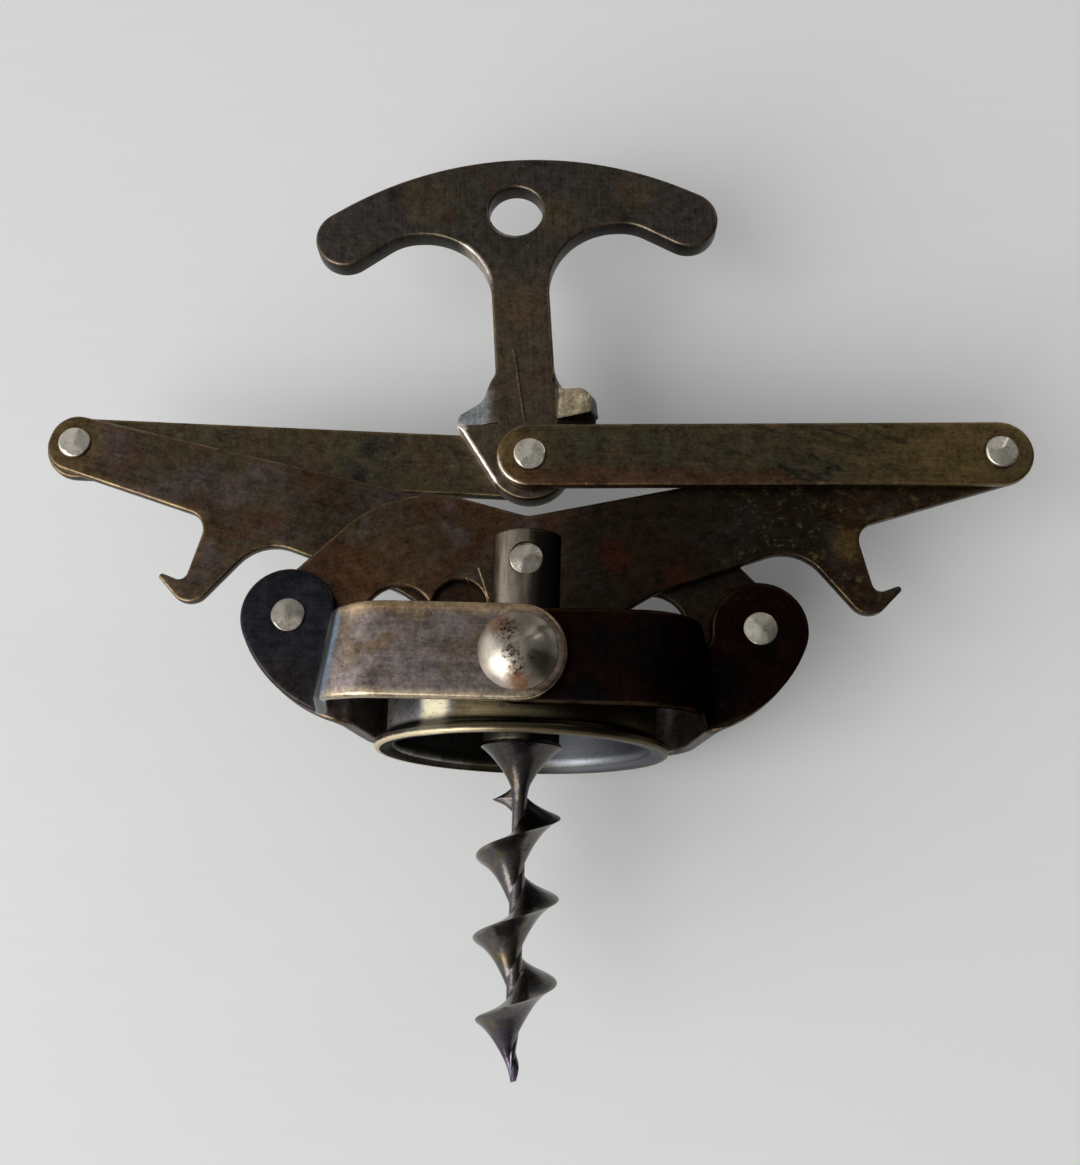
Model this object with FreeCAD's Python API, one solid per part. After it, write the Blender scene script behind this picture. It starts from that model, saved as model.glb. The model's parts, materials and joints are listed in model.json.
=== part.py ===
import FreeCAD, Part
import math
import os

# Wing corkscrew of flat levers and links: a bottle collar, two pairs of bent straps, two crossed levers, two
# links, a T handle and a slotted shaft that carries the worm.
#
# Millimetres. X points right, Y from the worm towards the handle, Z up, away from the ground that the tool
# lies on. The plates lie parallel to the ground. The origin is the centre of the seat that rests on the
# bottle's mouth, on the worm's axis. The tool is drawn closed: worm out, handle down, levers folded.

Vec = FreeCAD.Vector
ACROSS = Vec(1, 0, 0)
ALONG = Vec(0, 1, 0)
UP = Vec(0, 0, 1)
ZERO = Vec(0, 0, 0)

# Linkage
arm = 30.0                          # collar pivot to ear pivot, and ear pivot to crossing pin
reach = 61.5                        # crossing pin to outer pivot
rest_angle = math.radians(14.727)   # how far the closed levers rise from level
dip = math.radians(1.5)             # the links lie this far past level, which locks the tool shut
handle_lean = math.radians(4.7)     # the handle rests against its left stop

# Sheet and fits
plate = 1.5                         # levers, links and straps
play = 0.1                          # between plates that slide on each other
bore_gap = 0.05                     # round a shank, on the radius
soft_edge = 0.22                    # rounding of the plates' stamped edges

# Collar: a drawn cup with a pierced top and a turned-out rim
collar_wall = 1.2
collar_bore_r = 15.1                # slides over the lip of a bottle
collar_depth = 12.0                 # from the seat down to the rim
seat_hole_r = 12.5                  # the cork is drawn up through it
rim_r = 17.75
pivot_above_rim = 8.4               # height of the two collar rivets over the rim's underside
collar_top_bend = 1.5
rim_bend = 0.8

# Straps
strap_half = 5.4                    # half of a strap's width, and its round end
strap_gap = 0.7                     # collar wall to the inner strap
strap_side_gap = 2.9                # collar wall to where the flat front meets the side, before bending
strap_splay = 2.7                   # from there out to where the side meets the ear
strap_bend = 7.0
crease_bend = 1.75
ear_r = 6.0
ear_root_r = 1.5                    # hollow corner between the ear and the strap's upper edge
ear_belly_r = 17.0                  # the ear's lower outline

# Levers, in their own frame: ear pivot at the origin, outer pivot along +x. The corners of the outline are
# (x, y, rounding), and their x counts from the pivot that the feature belongs to.
lever_end_r = 3.5
lobe_corner = (-5.4, -5.1, 5.0)     # the round end on the ear pivot
lobe_top = (-5.4, 1.9, 3.0)
hump_corner = (16.5, 14.8, 16.0)
inner_edge_y = -3.6                 # the edge that the two bites are cut from
inner_edge_x = (9.3, 23.6)
lobe_step_y = -5.0                  # where the lobe ends in a small step
lobe_step_x = 8.9
scallops = [(12.9, -3.3, 4.4), (20.6, -3.3, 3.4)]   # centre and radius of each bite
belly_y = -9.5                      # the belly hangs under the crossing pin
belly_x = (-4.6, 8.0)
belly_r = (2.2, 6.0)
shoulder_corner = (1.6, 6.2, 3.0)
waist_corner = (14.5, -7.4, 8.0)
hook_root = (-27.9, -5.6, 6.0)      # the cap hook hangs near the outer pivot
hook_toe = (-22.2, -17.3, 2.6)
hook_tip = (-15.7, -13.2, 0.4)
hook_mouth_x = -20.3
hook_floor = (-13.7, 1.1)           # height and rounding of the notch's two corners
hook_roof = (-4.9, 2.5)
end_taper = 0.1                     # the lever is this much wider than its end circle
end_taper_top = 0.2

# Links
link_r = 4.2

# Handle, in its own frame: its pivot at the origin, standing upright
handle_foot_r = 5.5
stem_half = 3.85
foot_half = 9.0                     # half width of the foot, at the stop tabs
tab_gap = 0.15                      # between a closed link and the stop tab that meets it
tab_slit = 0.2
tab_top = 9.8
tab_corner = 2.0
tab_bend = math.radians(15.0)       # left tab bent back, right tab bent forward, each over its link
tab_root = 1.0                      # how far a bent tab reaches into the stem
crown_r = 48.0                      # the crossbar's top edge
crown_top = 44.0
crown_half = 23.0                   # where the top edge runs out into the ends
bar_end_x = 29.2
bar_low = (24.2, 27.9)              # lower corner of a crossbar end, before rounding
bar_under_y = 33.2                  # underside of the crossbar beside the stem
bar_under_x = 15.6
underarm_r = 9.3
bar_under_r = 7.0
bar_end_r = 4.2
bar_low_r = 3.9
hang_hole_r = 3.65
hang_hole_y = 36.3

# Shaft and worm
shaft_r = 4.6
shaft_over_pin = 3.9
slot_under_pin = 17.0
slot_play = 0.15                    # on each side of the two levers
shaft_under_pivot = 7.2             # shaft's lower end, under the collar pivots
shaft_chamfer = 0.5
spigot_r = 2.4
spigot_length = 4.0
spigot_gap = 0.02
worm_head_r = 4.9
worm_head_length = 0.4
worm_cone_length = 4.6
worm_cone_hollow = 0.25             # the cone's side is drawn in by this much
worm_cone_end_r = 1.5
worm_r = 5.0
worm_core_r = 1.15
worm_pitch = 9.4
worm_length = 33.2                  # from the cone's end to the tip
worm_start_turn = math.radians(231.7)
worm_start = -0.9                   # the blade starts this far below the cone's end
worm_run_in = 0.8                   # length over which the blade rises from the core
worm_last_edge = 26.3               # where the blade's edge ends
worm_run_out = 2.6
worm_bury = 1.6                     # how far the core starts inside the cone
worm_tip_r = 0.15
worm_lean = 0.8                     # above 0 the blade's upper side is steep and its lower side long
worm_thinness = 3.4                 # higher is a thinner blade
sections_per_turn = 16
points_per_section = 32

# Rivets
shank_r = 1.5
head_r = 2.15
head_h = 0.85
spot_gap = 0.15                     # round a rivet head that is let into the shaft
dome_shank_r = 2.0
dome_r = 4.4
dome_h = 2.3
flush_r = 2.7                       # the collar rivets' inner ends are peened flush into a cone
flush_depth = 0.8

# Worked out from the above
link_length = reach * math.cos(rest_angle) / math.cos(dip)     # outer pivot to handle pivot
pivot = Vec(0, pivot_above_rim - collar_depth, 0)
ear = pivot + Vec(arm * math.cos(rest_angle), arm * math.sin(rest_angle), 0)
crossing = pivot + Vec(0, 2 * arm * math.sin(rest_angle), 0)
outer = crossing + Vec(reach * math.cos(rest_angle), reach * math.sin(rest_angle), 0)
handle_pivot = Vec(0, outer.y - link_length * math.sin(dip), 0)
collar_r = collar_bore_r + collar_wall
step = plate + play
front = collar_r + strap_gap
strap_corner_x = collar_r + strap_side_gap
strap_crease_x = strap_corner_x + strap_splay
stop_y = (link_r / math.cos(dip) + foot_half * math.tan(dip) + tab_gap
          + foot_half * math.sin(handle_lean)) / math.cos(handle_lean)


def layer(n):
    """Lower face of plate layer n: 0 and up lie in front of the middle plane, -1 and down behind it."""
    return play / 2 + n * step


def mirrored(p):
    return Vec(-p.x, p.y, p.z)


def rounded(points, closed=True):
    """A wire of straight runs through (x, y, radius) points, with a tangent arc of that radius at each."""
    corners = [Vec(x, y, 0) for x, y, _ in points]
    count = len(points)
    runs, arcs = [], []
    for i, (_, _, radius) in enumerate(points):
        here = corners[i]
        if not radius:
            runs.append((here, here))
            arcs.append(None)
            continue
        back = (corners[i - 1] - here).normalize()
        ahead = (corners[(i + 1) % count] - here).normalize()
        half = back.getAngle(ahead) / 2
        inward = (back + ahead).normalize()
        start = here + back * (radius / math.tan(half))
        end = here + ahead * (radius / math.tan(half))
        middle = here + inward * (radius / math.sin(half) - radius)
        runs.append((start, end))
        arcs.append(Part.Arc(start, middle, end).toShape())
    edges = []
    for i in range(count):
        if arcs[i]:
            edges.append(arcs[i])
        after = (i + 1) % count
        a, b = runs[i][1], runs[after][0]
        if (closed or after) and a.distanceToPoint(b) > 1e-6:
            edges.append(Part.LineSegment(a, b).toShape())
    return Part.Wire(edges)


def cylinder(at, z_low, z_high, radius):
    return Part.makeCylinder(radius, z_high - z_low, Vec(at.x, at.y, z_low), UP)


def soften(body, *levels):
    """Rounds every edge that lies in one of a plate's two faces."""
    rims = [edge for edge in body.Edges
            if any(all(abs(v.Z - z) < 1e-6 for v in edge.Vertexes) for z in levels)]
    return body.makeFillet(soft_edge, rims)


def stamped(wire, z_low, z_high):
    return Part.Face(wire).extrude(UP * (z_high - z_low)).translated(UP * z_low)


def placed(body, at, turn):
    """A body drawn at the origin, turned about Z and moved to its pivot."""
    return body.rotated(ZERO, UP, math.degrees(turn)).translated(Vec(at.x, at.y, 0))


def flipped(body):
    """The same plate facing the other way: turned half round the worm's axis."""
    return body.rotated(ZERO, ALONG, 180)


# ---- collar

def collar():
    profile = rounded([
        (collar_bore_r, -collar_depth, rim_bend), (rim_r, -collar_depth, soft_edge),
        (rim_r, collar_wall - collar_depth, soft_edge), (collar_r, collar_wall - collar_depth, rim_bend),
        (collar_r, collar_wall, collar_top_bend), (seat_hole_r, collar_wall, soft_edge),
        (seat_hole_r, 0, soft_edge), (collar_bore_r, 0, soft_edge)])
    body = Part.Face(profile).revolve(ZERO, ALONG, 360)
    hole = collar_rivet_shank(bore_gap, deeper=collar_wall)
    return body.cut([hole, flipped(hole)])


def collar_rivet_shank(grown, deeper=0.0):
    """The shank of the front collar rivet, with its inner end peened into a cone that clears the bore."""
    inner = collar_bore_r
    shank = cylinder(pivot, inner, dome_seat_z(), dome_shank_r + grown)
    cone = Part.makeCone(flush_r + grown, dome_shank_r + grown, flush_depth, pivot + UP * inner, UP)
    pieces = [cone]
    if deeper:
        pieces.append(cylinder(pivot, inner - deeper, inner, flush_r + grown))
    return shank.fuse(pieces).removeSplitter()


def dome_seat_z():
    """Underside of a collar rivet's head, over the outer strap."""
    return front + step + plate + play


def dome_rivet():
    base = dome_seat_z()
    ball_r = (dome_r ** 2 + dome_h ** 2) / (2 * dome_h)
    ball = Part.makeSphere(ball_r, pivot + UP * (base + dome_h - ball_r))
    head = ball.common(cylinder(pivot, base, base + dome_h, dome_r))
    return head.fuse(collar_rivet_shank(0.0)).removeSplitter()


# ---- straps

def strap_outline():
    """Front view of a right-hand strap: a round end on the collar pivot, a band, and an ear. The ear's circle runs
    on into a larger one that touches the band's lower edge."""
    at = ear - pivot
    rise = math.asin((ear_belly_r - at.y - strap_half) / (ear_belly_r - ear_r))
    turn = Vec(math.cos(rise), -math.sin(rise), 0)
    belly = at - turn * (ear_belly_r - ear_r)
    tangent = at + turn * ear_r
    lowest = belly - ALONG * ear_belly_r
    slant = (turn - ALONG).normalize()
    inmost = at - ACROSS * ear_r
    root = Vec(inmost.x - ear_root_r, strap_half + ear_root_r, 0)
    corner = (ACROSS - ALONG).normalize()
    edges = [
        Part.Arc(Vec(0, strap_half, 0), Vec(-strap_half, 0, 0), Vec(0, -strap_half, 0)).toShape(),
        Part.LineSegment(Vec(0, -strap_half, 0), lowest).toShape(),
        Part.Arc(lowest, belly + slant * ear_belly_r, tangent).toShape(),
        Part.Arc(tangent, at + ALONG * ear_r, inmost).toShape(),
        Part.LineSegment(inmost, root + ACROSS * ear_root_r).toShape(),
        Part.Arc(root + ACROSS * ear_root_r, root + corner * ear_root_r, root - ALONG * ear_root_r).toShape(),
        Part.LineSegment(root - ALONG * ear_root_r, Vec(0, strap_half, 0)).toShape(),
    ]
    return Part.Wire(edges)


def strap(outer_one):
    """A right-hand front strap: a bent sheet trimmed to the outline. The outer one is a layer further out."""
    shift = step if outer_one else 0.0
    z_flat = front + shift + plate / 2
    z_ear = layer(0) + shift + plate / 2
    far = ear.x + ear_r + plate
    tall = 4 * ear_r
    path = rounded([(-strap_half - plate, z_flat, 0), (strap_corner_x + shift, z_flat, strap_bend),
                    (strap_crease_x + shift, z_ear, crease_bend), (far, z_ear, 0)], closed=False)
    path.rotate(ZERO, ACROSS, 90)
    start = Vec(-strap_half - plate, -tall, z_flat - plate / 2)
    section = Part.makePolygon([start, start + ALONG * 2 * tall, start + ALONG * 2 * tall + UP * plate,
                                start + UP * plate, start])
    sheet = path.makePipeShell([section], True, False)
    blank = stamped(strap_outline(), 0, z_flat + plate)
    body = sheet.common(blank)
    for at, radius in ((ZERO, dome_shank_r), (ear - pivot, shank_r)):
        body = body.cut(cylinder(at, -1, z_flat + plate, radius + bore_gap))
    return body.translated(pivot)


# ---- levers and links

def lever():
    """The right lever: ear lobe, hump, long top edge, round outer end, cap hook, belly and two scallops."""
    length = arm + reach
    tip = length + lever_end_r
    wire = rounded([
        lobe_corner, (lobe_step_x, lobe_step_y, 0), (inner_edge_x[0], inner_edge_y, 0),
        (inner_edge_x[1], inner_edge_y, 0), (arm + belly_x[0], belly_y, belly_r[0]),
        (arm + belly_x[1], belly_y, belly_r[1]), beside(arm, waist_corner), beside(length, hook_root),
        beside(length, hook_toe), beside(length, hook_tip), (length + hook_mouth_x, *hook_floor),
        (length + hook_mouth_x, *hook_roof), (tip, -lever_end_r - end_taper, lever_end_r),
        (tip, lever_end_r + end_taper_top, lever_end_r), beside(arm, shoulder_corner), hump_corner, lobe_top])
    low, high = layer(0), layer(0) + plate
    body = stamped(wire, low, high)
    for x, y, radius in scallops:
        body = body.cut(cylinder(Vec(x, y, 0), low, high, radius))
    for x in (0, arm, length):
        body = body.cut(cylinder(ACROSS * x, low, high, shank_r + bore_gap))
    return placed(body, mirrored(ear), rest_angle)


def beside(x, corner):
    return (x + corner[0], corner[1], corner[2])


def link():
    """The right link, in front of the right lever."""
    low, high = layer(1), layer(1) + plate
    far = link_length + link_r
    wire = rounded([(-link_r, -link_r, link_r), (far, -link_r, link_r), (far, link_r, link_r),
                    (-link_r, link_r, link_r)])
    body = soften(stamped(wire, low, high), low, high)
    for x in (0, link_length):
        body = body.cut(cylinder(ACROSS * x, low, high, shank_r + bore_gap))
    return placed(body, handle_pivot, dip)


# ---- handle

def handle():
    """T handle: crossbar, stem, and a foot whose two shoulders are bent out as stops for the closed links."""
    low, high = layer(-1), layer(0) + plate
    crown_turn = math.asin(crown_half / crown_r)
    crown_corner = crown_top - crown_r + crown_r / math.cos(crown_turn)
    bar_end_y = crown_corner - bar_end_x * math.tan(crown_turn)
    right = [(stem_half, stop_y - tab_slit, 0), (stem_half, bar_under_y, underarm_r),
             (bar_under_x, bar_under_y, bar_under_r), (bar_low[0], bar_low[1], bar_low_r),
             (bar_end_x, bar_end_y, bar_end_r)]
    left = [(-x, y, radius) for x, y, radius in reversed(right)]
    bar = stamped(rounded(right + [(0, crown_corner, crown_r)] + left), low, high)
    body = soften(bar.fuse(shield(low, high)).removeSplitter(), low, high)
    body = body.fuse([stop_tab(low, high), flipped(stop_tab(low, high))]).removeSplitter()
    body = body.cut(cylinder(ALONG * hang_hole_y, low, high, hang_hole_r))
    body = body.cut(cylinder(ZERO, low, high, shank_r + bore_gap))
    return placed(body, handle_pivot, handle_lean)


def shield(low, high):
    """The foot under the stop tabs: two corners, and sides that run down to the round end on the pivot."""
    corner = Vec(foot_half, stop_y - tab_slit, 0)
    away = math.acos(handle_foot_r / corner.Length)
    aim = math.atan2(corner.y, corner.x) - away
    tangent = Vec(handle_foot_r * math.cos(aim), handle_foot_r * math.sin(aim), 0)
    bottom = -ALONG * handle_foot_r
    left = mirrored(corner)
    return stamped(Part.Wire([
        Part.LineSegment(left, corner).toShape(), Part.LineSegment(corner, tangent).toShape(),
        Part.Arc(tangent, bottom, mirrored(tangent)).toShape(),
        Part.LineSegment(mirrored(tangent), left).toShape()]), low, high)


def stop_tab(low, high):
    """The right shoulder, bent forward about the edge of the stem so that it stands over the front link."""
    root = stem_half - tab_root
    wire = rounded([(root, stop_y, 0), (foot_half, stop_y, 0),
                    (foot_half, tab_top - tab_corner / 2, tab_corner / 2),
                    (foot_half - tab_corner, tab_top - tab_corner / 4, tab_corner / 4), (root, tab_top, 0)])
    tab = stamped(wire, low, high)
    return tab.rotated(ACROSS * stem_half, ALONG, -math.degrees(tab_bend))


# ---- shaft and worm

def slotted_shaft():
    """Round shaft whose fork takes the two crossed levers, with a socket for the worm at its lower end."""
    foot = pivot.y - shaft_under_pivot
    head = crossing.y + shaft_over_pin
    body = Part.makeCylinder(shaft_r, head - foot, ALONG * foot, ALONG)
    body = body.makeChamfer(shaft_chamfer, [e for e in body.Edges if abs(e.CenterOfMass.y - head) < 1e-6])
    half = step + slot_play - play / 2
    bottom = crossing.y - slot_under_pin
    slot = Part.makeBox(4 * shaft_r, head - bottom, 2 * half, Vec(-2 * shaft_r, bottom, -half))
    socket = Part.makeCylinder(spigot_r + spigot_gap, spigot_length + spigot_gap, ALONG * foot, ALONG)
    spot = cylinder(crossing, spot_z(), shaft_r, head_r + spot_gap)
    pin_hole = cylinder(crossing, -shaft_r, shaft_r, shank_r + bore_gap)
    return body.cut([slot, socket, pin_hole, spot, flipped(spot)])


def spot_z():
    """Height of the flats that the crossing rivet's heads sit on."""
    return math.sqrt(shaft_r ** 2 - (head_r + spot_gap) ** 2)


def worm():
    """Spigot, head, cone, and the bladed screw, right-handed."""
    top = pivot.y - shaft_under_pivot
    cone_top = top - worm_head_length
    cone_end = cone_top - worm_cone_length
    waist = (worm_head_r + worm_cone_end_r) / 2 - worm_cone_hollow
    outline = Part.Wire([
        Part.makePolygon([Vec(worm_cone_end_r, cone_end, 0), Vec(0, cone_end, 0),
                          Vec(0, top + spigot_length, 0), Vec(spigot_r, top + spigot_length, 0),
                          Vec(spigot_r, top, 0), Vec(worm_head_r, top, 0), Vec(worm_head_r, cone_top, 0)]),
        Part.Arc(Vec(worm_head_r, cone_top, 0), Vec(waist, (cone_top + cone_end) / 2, 0),
                 Vec(worm_cone_end_r, cone_end, 0)).toShape()])
    head = Part.Face(outline).revolve(ZERO, ALONG, 360)
    return head.fuse(screw(cone_end)).removeSplitter()


def screw(start):
    """The blade and its core: a surface through sections that turn with the pitch, closed by two ends."""
    count = math.ceil((worm_length + worm_bury) / worm_pitch * sections_per_turn)
    depths = [worm_length - (worm_length + worm_bury) * i / count for i in range(count, -1, -1)]
    surface = Part.BSplineSurface()
    surface.interpolate([section(start, depth) for depth in depths])
    first, last = surface.bounds()[:2]
    ends = [Part.Face(Part.Wire(surface.uIso(u).toShape())) for u in (first, last)]
    shell = Part.Shell([surface.toShape()] + ends)
    shell.sewShape()
    body = Part.Solid(shell)
    if body.Volume < 0:
        body.reverse()
    return body


def section(start, depth):
    """Points round the screw at one depth, over the blade's steep upper side and down its long lower one."""
    worn = ease((depth - worm_last_edge) / (worm_length - worm_last_edge))
    core = worm_core_r + (worm_tip_r - worm_core_r) * worn
    points = []
    for i in range(points_per_section):
        away = 2 * math.pi * i / points_per_section - math.pi / 2
        share = math.cos((away + worm_lean * (math.cos(away) - 1)) / 2) ** 2
        edge = edge_radius(depth - worm_pitch * away / (2 * math.pi))
        radius = core + max(0.0, edge - core) * share ** worm_thinness
        aim = worm_start_turn - 2 * math.pi * depth / worm_pitch + away
        points.append(Vec(radius * math.sin(aim), start - depth, radius * math.cos(aim)))
    return points + points[:1]


def edge_radius(depth):
    """How far out the blade's edge is: it rises fast at the top, and falls to the core at its end."""
    risen = ease((depth - worm_start) / worm_run_in)
    fallen = ease((depth - worm_last_edge) / worm_run_out)
    return worm_core_r + (worm_r - worm_core_r) * risen * (1 - fallen)


def ease(share):
    """0 to 1 with a smooth start and end."""
    share = min(1.0, max(0.0, share))
    return share * share * (3 - 2 * share)


# ---- rivets

def button(at, z, side):
    """A low domed head on the face at height z, standing out towards side."""
    ball_r = (head_r ** 2 + head_h ** 2) / (2 * head_h)
    ball = Part.makeSphere(ball_r, Vec(at.x, at.y, z + side * (head_h - ball_r)))
    return ball.common(cylinder(at, min(z, z + side * head_h), max(z, z + side * head_h), head_r))


def rivet(at, z_low, z_high, low_head=True, high_head=True):
    """A shank between two faces, with a head on each end that has one."""
    pieces = []
    if low_head:
        pieces.append(button(at, z_low, -1))
    if high_head:
        pieces.append(button(at, z_high, 1))
    return cylinder(at, z_low, z_high, shank_r).fuse(pieces).removeSplitter()


def parts():
    outer_left, ear_left = mirrored(outer), mirrored(ear)
    top = [layer(n) + plate for n in range(2)]
    return {
        "collar": collar(),
        "front_dome_rivet": dome_rivet(),
        "back_dome_rivet": flipped(dome_rivet()),
        "front_right_strap": strap(outer_one=False),
        "back_left_strap": flipped(strap(outer_one=False)),
        "front_left_strap": strap(outer_one=True).mirror(ZERO, ACROSS),
        "back_right_strap": flipped(strap(outer_one=True).mirror(ZERO, ACROSS)),
        "left_ear_rivet": rivet(ear_left, layer(-1), top[1]),
        "right_ear_rivet": rivet(ear, layer(-2), top[0]),
        "right_lever": lever(),
        "left_lever": flipped(lever()),
        "right_outer_rivet": rivet(outer, layer(0), top[1] + play),
        "left_outer_rivet": rivet(outer_left, layer(-2) - play, layer(-1) + plate),
        "right_link": link(),
        "left_link": flipped(link()),
        "slotted_shaft": slotted_shaft(),
        "crossing_rivet": rivet(crossing, -spot_z(), spot_z()),
        "worm": worm(),
        "handle": handle(),
        "handle_rivet_front": rivet(handle_pivot, layer(-1), top[1] + play, low_head=False),
        "handle_rivet_back": rivet(handle_pivot, layer(-2) - play, layer(-2) + plate, high_head=False),
    }


if __name__ == "__main__":
    os.makedirs("parts", exist_ok=True)
    for name, shape in parts().items():
        shape.exportStep(f"parts/{name}.step")
        print(f"{name:20s} valid {shape.isValid()} solids {len(shape.Solids)} volume {shape.Volume:9.2f}")
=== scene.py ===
import json
import math

import bpy
import numpy as np
from mathutils.geometry import delaunay_2d_cdt
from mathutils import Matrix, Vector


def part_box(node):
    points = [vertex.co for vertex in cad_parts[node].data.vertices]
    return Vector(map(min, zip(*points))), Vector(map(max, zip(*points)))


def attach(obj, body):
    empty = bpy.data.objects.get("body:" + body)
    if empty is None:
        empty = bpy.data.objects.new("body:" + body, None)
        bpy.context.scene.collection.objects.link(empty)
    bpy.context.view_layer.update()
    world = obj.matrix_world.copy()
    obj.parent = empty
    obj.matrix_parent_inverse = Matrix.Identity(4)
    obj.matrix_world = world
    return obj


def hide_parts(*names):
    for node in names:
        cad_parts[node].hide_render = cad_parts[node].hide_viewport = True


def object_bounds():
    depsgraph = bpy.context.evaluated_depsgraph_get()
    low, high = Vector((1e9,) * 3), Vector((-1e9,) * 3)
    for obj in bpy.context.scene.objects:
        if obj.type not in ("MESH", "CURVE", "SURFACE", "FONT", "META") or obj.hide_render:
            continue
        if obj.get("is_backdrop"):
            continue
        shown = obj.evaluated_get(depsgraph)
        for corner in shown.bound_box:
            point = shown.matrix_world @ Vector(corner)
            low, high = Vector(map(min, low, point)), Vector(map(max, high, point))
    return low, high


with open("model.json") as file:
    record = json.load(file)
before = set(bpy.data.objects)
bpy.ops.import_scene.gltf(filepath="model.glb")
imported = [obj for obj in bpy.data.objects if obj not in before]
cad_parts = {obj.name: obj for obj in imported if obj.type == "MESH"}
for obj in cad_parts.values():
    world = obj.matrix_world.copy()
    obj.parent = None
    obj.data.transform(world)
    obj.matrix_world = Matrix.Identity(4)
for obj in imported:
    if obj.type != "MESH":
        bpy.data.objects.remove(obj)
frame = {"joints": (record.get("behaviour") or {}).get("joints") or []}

# Looks of a flat folding lever corkscrew: stamped plates with worn rolled edges, a spun collar, hammered
# rivets, a bladed worm, and the old finish on each. Shapes are worked out in millimetres, in the frame's own
# axes: X to the right, Y from the worm towards the handle, Z up from the ground that the tool lies on.

bl_info = {
    "name": "Lever corkscrew looks",
    "version": (1, 0, 0),
    "blender": (4, 5, 0),
    "location": "View3D > Sidebar > Corkscrew",
    "description": "Builds the visible pieces and finishes of a flat folding lever corkscrew",
    "category": "Object",
}

MM = 0.001
TAU = 2 * math.pi
HOLE = 1.55             # radius of a plate's hole for a small rivet
DOME_HOLE = 2.05        # radius of a strap's hole for a dome rivet
STOP_GAP = 0.15         # room between a stop of the handle and the link under it
SLIT = 0.2              # width of the slit under a stop
SHEARED_ROUND = 0.05    # rounding of an edge that is left as it was sheared
JOINT = {j["name"]: np.array(j["pos_m"]) / MM for j in frame["joints"]}
PIVOT = JOINT["opening"]
EAR = JOINT["left_lever_turn"]
CROSSING = JOINT["shaft_lift"]
OUTER = JOINT["right_link_fold"]
HANDLE_PIVOT = JOINT["handle_tilt"]
ARM = math.dist(EAR[:2], CROSSING[:2])
REACH = math.dist(OUTER[:2], CROSSING[:2])
LINK = math.dist(OUTER[:2], HANDLE_PIVOT[:2])
REST_ANGLE = math.atan2(OUTER[1] - CROSSING[1], OUTER[0])
DIP = math.atan2(OUTER[1] - HANDLE_PIVOT[1], OUTER[0])


def layer(node):
    """Lower and upper face of a plate's node, in millimetres."""
    low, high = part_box(node)
    return low.z / MM, high.z / MM


PLATE = layer("right_lever")[1] - layer("right_lever")[0]


# ---- sizes and colours that a user can change

def length(name, description, millimetres):
    return bpy.props.FloatProperty(name=name, description=description, default=millimetres * MM, min=0.0,
                                   precision=5, unit="LENGTH")


def turn(name, description, degrees):
    return bpy.props.FloatProperty(name=name, description=description, default=math.radians(degrees),
                                   unit="ROTATION")


def colour(name, description, value):
    return bpy.props.FloatVectorProperty(name=name, description=description, default=value, min=0.0, max=1.0,
                                         size=3, subtype="COLOR")


class PlateSizes(bpy.types.PropertyGroup):
    edge_round: length("Edge rounding", "Radius of the worn edges of levers, links and handle", 0.34)
    strap_round: length("Strap rounding", "Radius of the worn edges of the bent straps", 0.50)
    mesh_step: length("Mesh step", "Distance between points inside a plate", 0.75)
    rim_step: length("Rim step", "Distance between points along a plate's outline", 0.36)


class LeverSizes(bpy.types.PropertyGroup):
    lobe: length("Lobe", "Half width of the round end on the ear rivet", 5.4)
    hump: length("Hump", "Height of the lever's back over its pivot line", 14.8)
    belly: length("Belly", "Depth of the belly under the crossing rivet", 9.5)
    end: length("Outer end", "Radius of the outer end", 3.6)
    hook: length("Hook", "How far the cap hook hangs under the pivot line", 17.3)
    left_bite: length("Outer bite", "Radius of the bite nearer to the ear rivet", 4.4)
    right_bite: length("Inner bite", "Radius of the bite nearer to the shaft", 3.4)


class LinkSizes(bpy.types.PropertyGroup):
    half: length("Half width", "Half width of a link, and the radius of its ends", 4.2)


class StrapSizes(bpy.types.PropertyGroup):
    half: length("Half width", "Half width of the flat front of a strap", 5.4)
    side: length("Side", "Distance from the worm's axis to the strap's bent side", 19.2)
    crease: length("Crease", "Distance from the worm's axis to the crease at the ear", 21.9)
    bend: length("Bend", "Radius of the bend round the collar", 7.0)
    crease_bend: length("Crease bend", "Radius of the bend at the ear", 1.75)
    ear: length("Ear", "Radius of the ear round its rivet", 6.0)
    ear_belly: length("Ear belly", "Radius of the ear's lower outline", 17.0)
    ear_root: length("Ear root", "Radius of the hollow corner between ear and band", 1.5)


class HandleSizes(bpy.types.PropertyGroup):
    lean: turn("Lean", "How far the handle leans on its left stop", 4.7)
    foot: length("Foot", "Radius of the round foot on the rivet", 5.5)
    foot_half: length("Foot half width", "Half width of the foot at the two stops", 9.0)
    stem_half: length("Stem half width", "Half width of the stem", 3.85)
    tab_top: length("Stop height", "Height of the stops over the rivet", 9.8)
    right_turn: turn("Right stop bend", "How far the right stop is bent forward", 22.0)
    left_turn: turn("Left stop bend", "How far the left stop is bent back", 16.0)
    tab_bend: length("Stop bend radius", "Radius of the bend at the root of a stop", 0.9)
    crown: length("Crown", "Radius of the crossbar's top edge", 48.0)
    crown_top: length("Crown height", "Height of the crossbar's top over the rivet", 44.0)
    hole: length("Hanging hole", "Radius of the hole in the crossbar", 3.65)


class CollarSizes(bpy.types.PropertyGroup):
    bore: length("Bore", "Radius of the bore that slides over a bottle's lip", 15.1)
    wall: length("Wall", "Thickness of the sheet", 1.2)
    depth: length("Depth", "Height of the seat over the rim", 12.0)
    rim: length("Rim", "Radius of the turned-out rim", 17.75)
    seat_hole: length("Seat hole", "Radius of the hole that the cork is drawn through", 12.5)


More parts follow.
